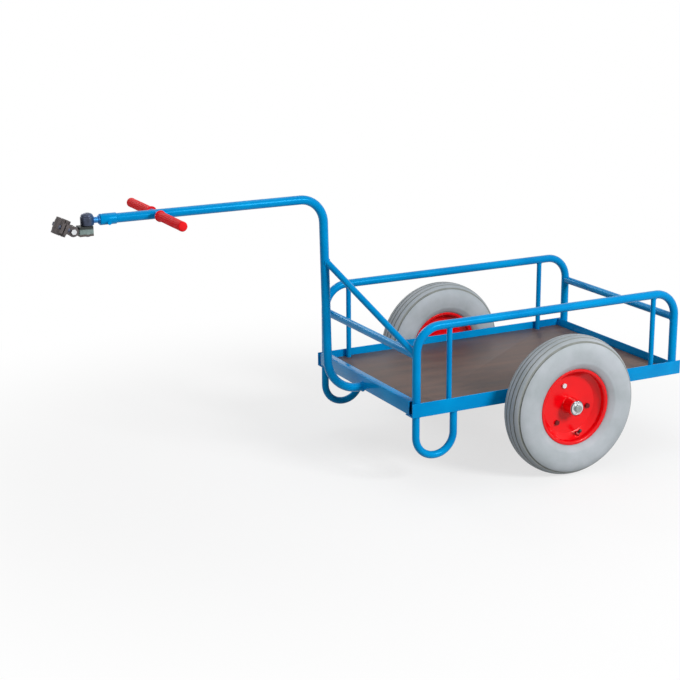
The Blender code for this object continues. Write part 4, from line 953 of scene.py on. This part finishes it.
for side in wheels:
    for half, out in (("outer", -1), ("inner", 1)):
        rim = spun(flange_roll + sheet_line + back_line, 144, facing=out)
        round_edges(rim, PRESS_ROUND, segments=4, sharp=18, among=is_press_bend)
        if half == "outer":
            hole = bmesh.new()
            bmesh.ops.create_cone(hole, cap_ends=True, segments=32, radius1=VALVE_HOLE, radius2=VALVE_HOLE,
                                  depth=0.02, matrix=valve_place)
            rim = fused([rim, hole], "DIFFERENCE")
        on_wheel(side, rim, "_" + half + "_rim_pressing", enamel, "rim_paint", "_" + half + "_rim")
    for number in range(1, BOLT_COUNT + 1):
        finish, kind = (zinc_plate, "zinc") if number == 1 else (dark_red_bolt, "dark_steel")
        angle = BOLT_FIRST + (number - 1) * 2 * math.pi / BOLT_COUNT
        face = SHEET + HALF_GAP + RUNNING_GAP
        spot = crosswise(BOLT_CIRCLE * math.cos(angle), -face, BOLT_CIRCLE * math.sin(angle))
        on_wheel(side, fastener(spot, 2 * face, M8), "_disc_bolt_%d" % number, finish, kind,
                 "_rim_bolt_%d" % number)


# Hubs, bearings, washers and split pins. A tube is welded through both rim discs and enamelled with
# them, with a shielded ball bearing in each end. A plated washer and a split pin keep the wheel on.
HUB_RADIUS = 0.0235
HUB_HALF = 0.040
HUB_LIP = 0.0008
HUB_BEAD = 0.0019
BEARING_RADIUS = 0.021
BEARING_WIDTH = 0.012
SHIELD_OUTER = 0.0182
SHIELD_INNER = 0.0135
SHIELD_SINK = 0.0006
BORE_GAP = 0.0004
WASHER_RADIUS = 0.0185
WASHER_THICKNESS = 0.003
WASHER_ROUND = 0.0007
COTTER_LEG = 0.0009
COTTER_BEND = 0.003
COTTER_EYE = 0.0040
COTTER_WIRE = 0.0010
COTTER_HEIGHT = 0.0160

# Rolled steel shield: a soft mirror, with a faint unevenness a few millimetres wide.
shield, tree, shader, here = surface("bearing_shield", Metallic=1.0, Base_Color=srgb("8E9296"), Roughness=0.28)
roughen(tree, shader, here, scale=400.0, detail=3.0, strength=0.15, depth=0.0001)

bore = BEARING_RADIUS + RUNNING_GAP
hub = [(bore, -HUB_HALF), (HUB_RADIUS - HUB_LIP, -HUB_HALF), (HUB_RADIUS, HUB_LIP - HUB_HALF),
       (HUB_RADIUS, HUB_HALF - HUB_LIP), (HUB_RADIUS - HUB_LIP, HUB_HALF), (bore, HUB_HALF)]
bore = SPIGOT_RADIUS + BORE_GAP
face = HUB_HALF - 0.0005
sunk = face - SHIELD_SINK
bearing = [(bore, face - BEARING_WIDTH), (BEARING_RADIUS, face - BEARING_WIDTH), (BEARING_RADIUS, sunk),
           (BEARING_RADIUS - 0.0006, face), (SHIELD_OUTER + 0.0003, face), (SHIELD_OUTER, sunk),
           (SHIELD_INNER, sunk), (SHIELD_INNER - 0.0003, face), (SPIGOT_RADIUS + 0.0010, face), (bore, sunk)]
start = HUB_HALF + RUNNING_GAP
end = start + WASHER_THICKNESS
washer = [(bore, start), (WASHER_RADIUS - 0.0004, start), (WASHER_RADIUS, start + 0.0004),
          (WASHER_RADIUS, end - WASHER_ROUND), (WASHER_RADIUS - WASHER_ROUND, end), (bore + 0.0004, end),
          (bore, end - 0.0004)]
for side, place in wheels.items():
    on_wheel(side, spun(hub, 96), "_hub", enamel, "rim_paint", "_hub_tube")
    beads = bmesh.new()
    for out in (-1, 1):
        lay_bead(beads, Vector((0, out * (SHEET + 0.0004), 0)), ACROSS, HUB_RADIUS, size=HUB_BEAD)
    on_wheel(side, beads, "_hub_welds", enamel, "rim_paint", smooth=60)
    for name, out in (("_outer", -1), ("_inner", 1)):
        on_wheel(side, spun(bearing, 72, facing=out), name + "_ball_bearing", shield, "bearing_steel",
                 name + "_bearing")
    put(moved(spun(washer, 96, facing=-1), place), side + "_plated_washer", zinc_plate, "chassis", "zinc",
        side + "_axle_washer")

eye_outline = [(COTTER_EYE + COTTER_WIRE * math.cos(a), COTTER_WIRE * math.sin(a))
               for a in (math.pi * i / 6 for i in range(12))]
for side in SIDES:
    low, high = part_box(side + "_split_pin")
    middle = Vector((axle_x, (low.y + high.y) / 2, axle.z))
    legs = []
    for shift in (-1, 1):
        steps = ((shift * 0.0008, 0, COTTER_HEIGHT - 0.0045), (shift * 0.0008, 0, -0.0125),
                 (shift * 0.0060, 0, -0.0165))
        legs.append(swept_tube([middle + Vector(step) for step in steps], COTTER_LEG, (COTTER_BEND,)))
    legs.append(moved(spun(eye_outline, 40), Matrix.Translation(middle + UP * COTTER_HEIGHT)))
    for number, bm in enumerate(legs, start=1):
        put(bm, side + "_cotter_%d" % number, zinc_plate, "chassis", "zinc", side + "_split_pin")


# Studio. A wide pale floor that turns to plain white away from the trailer, a white sky for the
# camera and for reflections, and four large soft lamps: a low key light from the near rear, a fill
# from the front, one overhead and one behind.
CAMERA_PLACE = Vector((axle_x - 2.403, -3.716, 1.522))
CAMERA_YAW = math.radians(26.717)
CAMERA_PITCH = math.radians(15.486)
CAMERA_ROLL = math.radians(-0.458)
CAMERA_LENS = 81.41
FLOOR_SIZE = 30.0
FLOOR_DROP = 0.0005
FLOOR_FADE = (0.7, 1.8)
FLOOR_NEAR = 0.68
SKY_LIGHT = 0.25
LAMP_AIM = Vector((0, 0, 0.4))
LAMPS = {
    "key_softbox": ((1.9, -4.2, 2.6), 1.6, 198.0),
    "fill_softbox": ((-3.4, -1.8, 2.0), 2.4, 27.0),
    "overhead_softbox": ((0.2, 0.8, 3.8), 2.6, 19.0),
    "back_softbox": ((-0.6, 4.4, 2.6), 2.2, 45.0),
}


def seen_directly(tree):
    """1 for what the camera sees, straight or by reflection or through glass, and 0 for the light."""
    rays = node(tree, "ShaderNodeLightPath", {})
    seen = node(tree, "ShaderNodeMath", {0: rays.outputs["Is Camera Ray"], 1: rays.outputs["Is Glossy Ray"]},
                operation="MAXIMUM")
    clear = node(tree, "ShaderNodeMath", {0: seen.outputs["Value"], 1: rays.outputs["Is Transmission Ray"]},
                 operation="MAXIMUM")
    return clear.outputs["Value"]


bm = bmesh.new()
bmesh.ops.create_grid(bm, x_segments=1, y_segments=1, size=FLOOR_SIZE,
                      matrix=Matrix.Translation((0, 0, -FLOOR_DROP)))
mesh = bpy.data.meshes.new("studio_floor")
bm.to_mesh(mesh)
bm.free()
floor = bpy.data.objects.new("studio_floor", mesh)
bpy.context.scene.collection.objects.link(floor)
# White paper. What the camera sees of it keeps the soft shadow near the trailer and is even white
# beyond; what it throws back as light is that of a grey floor, so that the undersides stay dark.
paper, tree, shader, here = surface("white_paper_floor", Base_Color=srgb("F6F6F6"), Roughness=0.9)
mesh.materials.append(paper)
distance = node(tree, "ShaderNodeVectorMath", {0: here}, operation="LENGTH")
fade = node(tree, "ShaderNodeMapRange", {"Value": distance.outputs["Value"], "From Min": FLOOR_FADE[0],
                                         "From Max": FLOOR_FADE[1], "To Min": FLOOR_NEAR, "To Max": 1.0},
            interpolation_type="SMOOTHSTEP")
even = node(tree, "ShaderNodeEmission", {"Color": srgb("FFFFFF"), "Strength": 1.0})
paper_seen = node(tree, "ShaderNodeMixShader", {0: fade.outputs["Result"], 1: shader.outputs["BSDF"],
                                                2: even.outputs["Emission"]})
grey = node(tree, "ShaderNodeBsdfDiffuse", {"Color": srgb("A4A4A4")})
paper_mixed = node(tree, "ShaderNodeMixShader", {0: seen_directly(tree), 1: grey.outputs["BSDF"],
                                                 2: paper_seen.outputs["Shader"]})
# From below the paper is clear, so that a low view shows the trailer's underside.
under = node(tree, "ShaderNodeNewGeometry", {}).outputs["Backfacing"]
clear = node(tree, "ShaderNodeBsdfTransparent", {})
one_sided = node(tree, "ShaderNodeMixShader", {0: under, 1: paper_mixed.outputs["Shader"],
                                               2: clear.outputs["BSDF"]})
tree.links.new(one_sided.outputs["Shader"], tree.nodes["Material Output"].inputs["Surface"])

world = bpy.data.worlds.new("white_studio")
bpy.context.scene.world = world
world.use_nodes = True
tree = world.node_tree
tree.nodes.clear()
light = node(tree, "ShaderNodeBackground", {"Color": srgb("FFFFFF"), "Strength": SKY_LIGHT})
backdrop = node(tree, "ShaderNodeBackground", {"Color": srgb("FFFFFF"), "Strength": 1.0})
mixed = node(tree, "ShaderNodeMixShader", {0: seen_directly(tree), 1: light.outputs["Background"],
                                           2: backdrop.outputs["Background"]})
node(tree, "ShaderNodeOutputWorld", {"Surface": mixed.outputs["Shader"]})

for name, (spot, size, watts) in LAMPS.items():
    lamp = bpy.data.lights.new(name, "AREA")
    lamp.shape = "DISK"
    lamp.size = size
    lamp.energy = watts
    item = bpy.data.objects.new(name, lamp)
    item.location = spot
    item.rotation_euler = (LAMP_AIM - Vector(spot)).to_track_quat("-Z", "Y").to_euler()
    bpy.context.scene.collection.objects.link(item)

look = Vector((math.sin(CAMERA_YAW) * math.cos(CAMERA_PITCH), math.cos(CAMERA_YAW) * math.cos(CAMERA_PITCH),
               -math.sin(CAMERA_PITCH)))
right = Vector((math.cos(CAMERA_YAW), -math.sin(CAMERA_YAW), 0))
up = right.cross(look)
side_way = right * math.cos(CAMERA_ROLL) + up * math.sin(CAMERA_ROLL)
up_way = up * math.cos(CAMERA_ROLL) - right * math.sin(CAMERA_ROLL)
eye = bpy.data.cameras.new("photo_view")
eye.lens = CAMERA_LENS
eye.clip_end = 100
camera = bpy.data.objects.new("photo_view", eye)
camera.matrix_world = Matrix.Translation(CAMERA_PLACE) @ Matrix((side_way, up_way, -look)).transposed().to_4x4()
bpy.context.scene.collection.objects.link(camera)
bpy.context.scene.camera = camera
bpy.context.scene.view_settings.view_transform = "Standard"

bpy.context.view_layer.update()
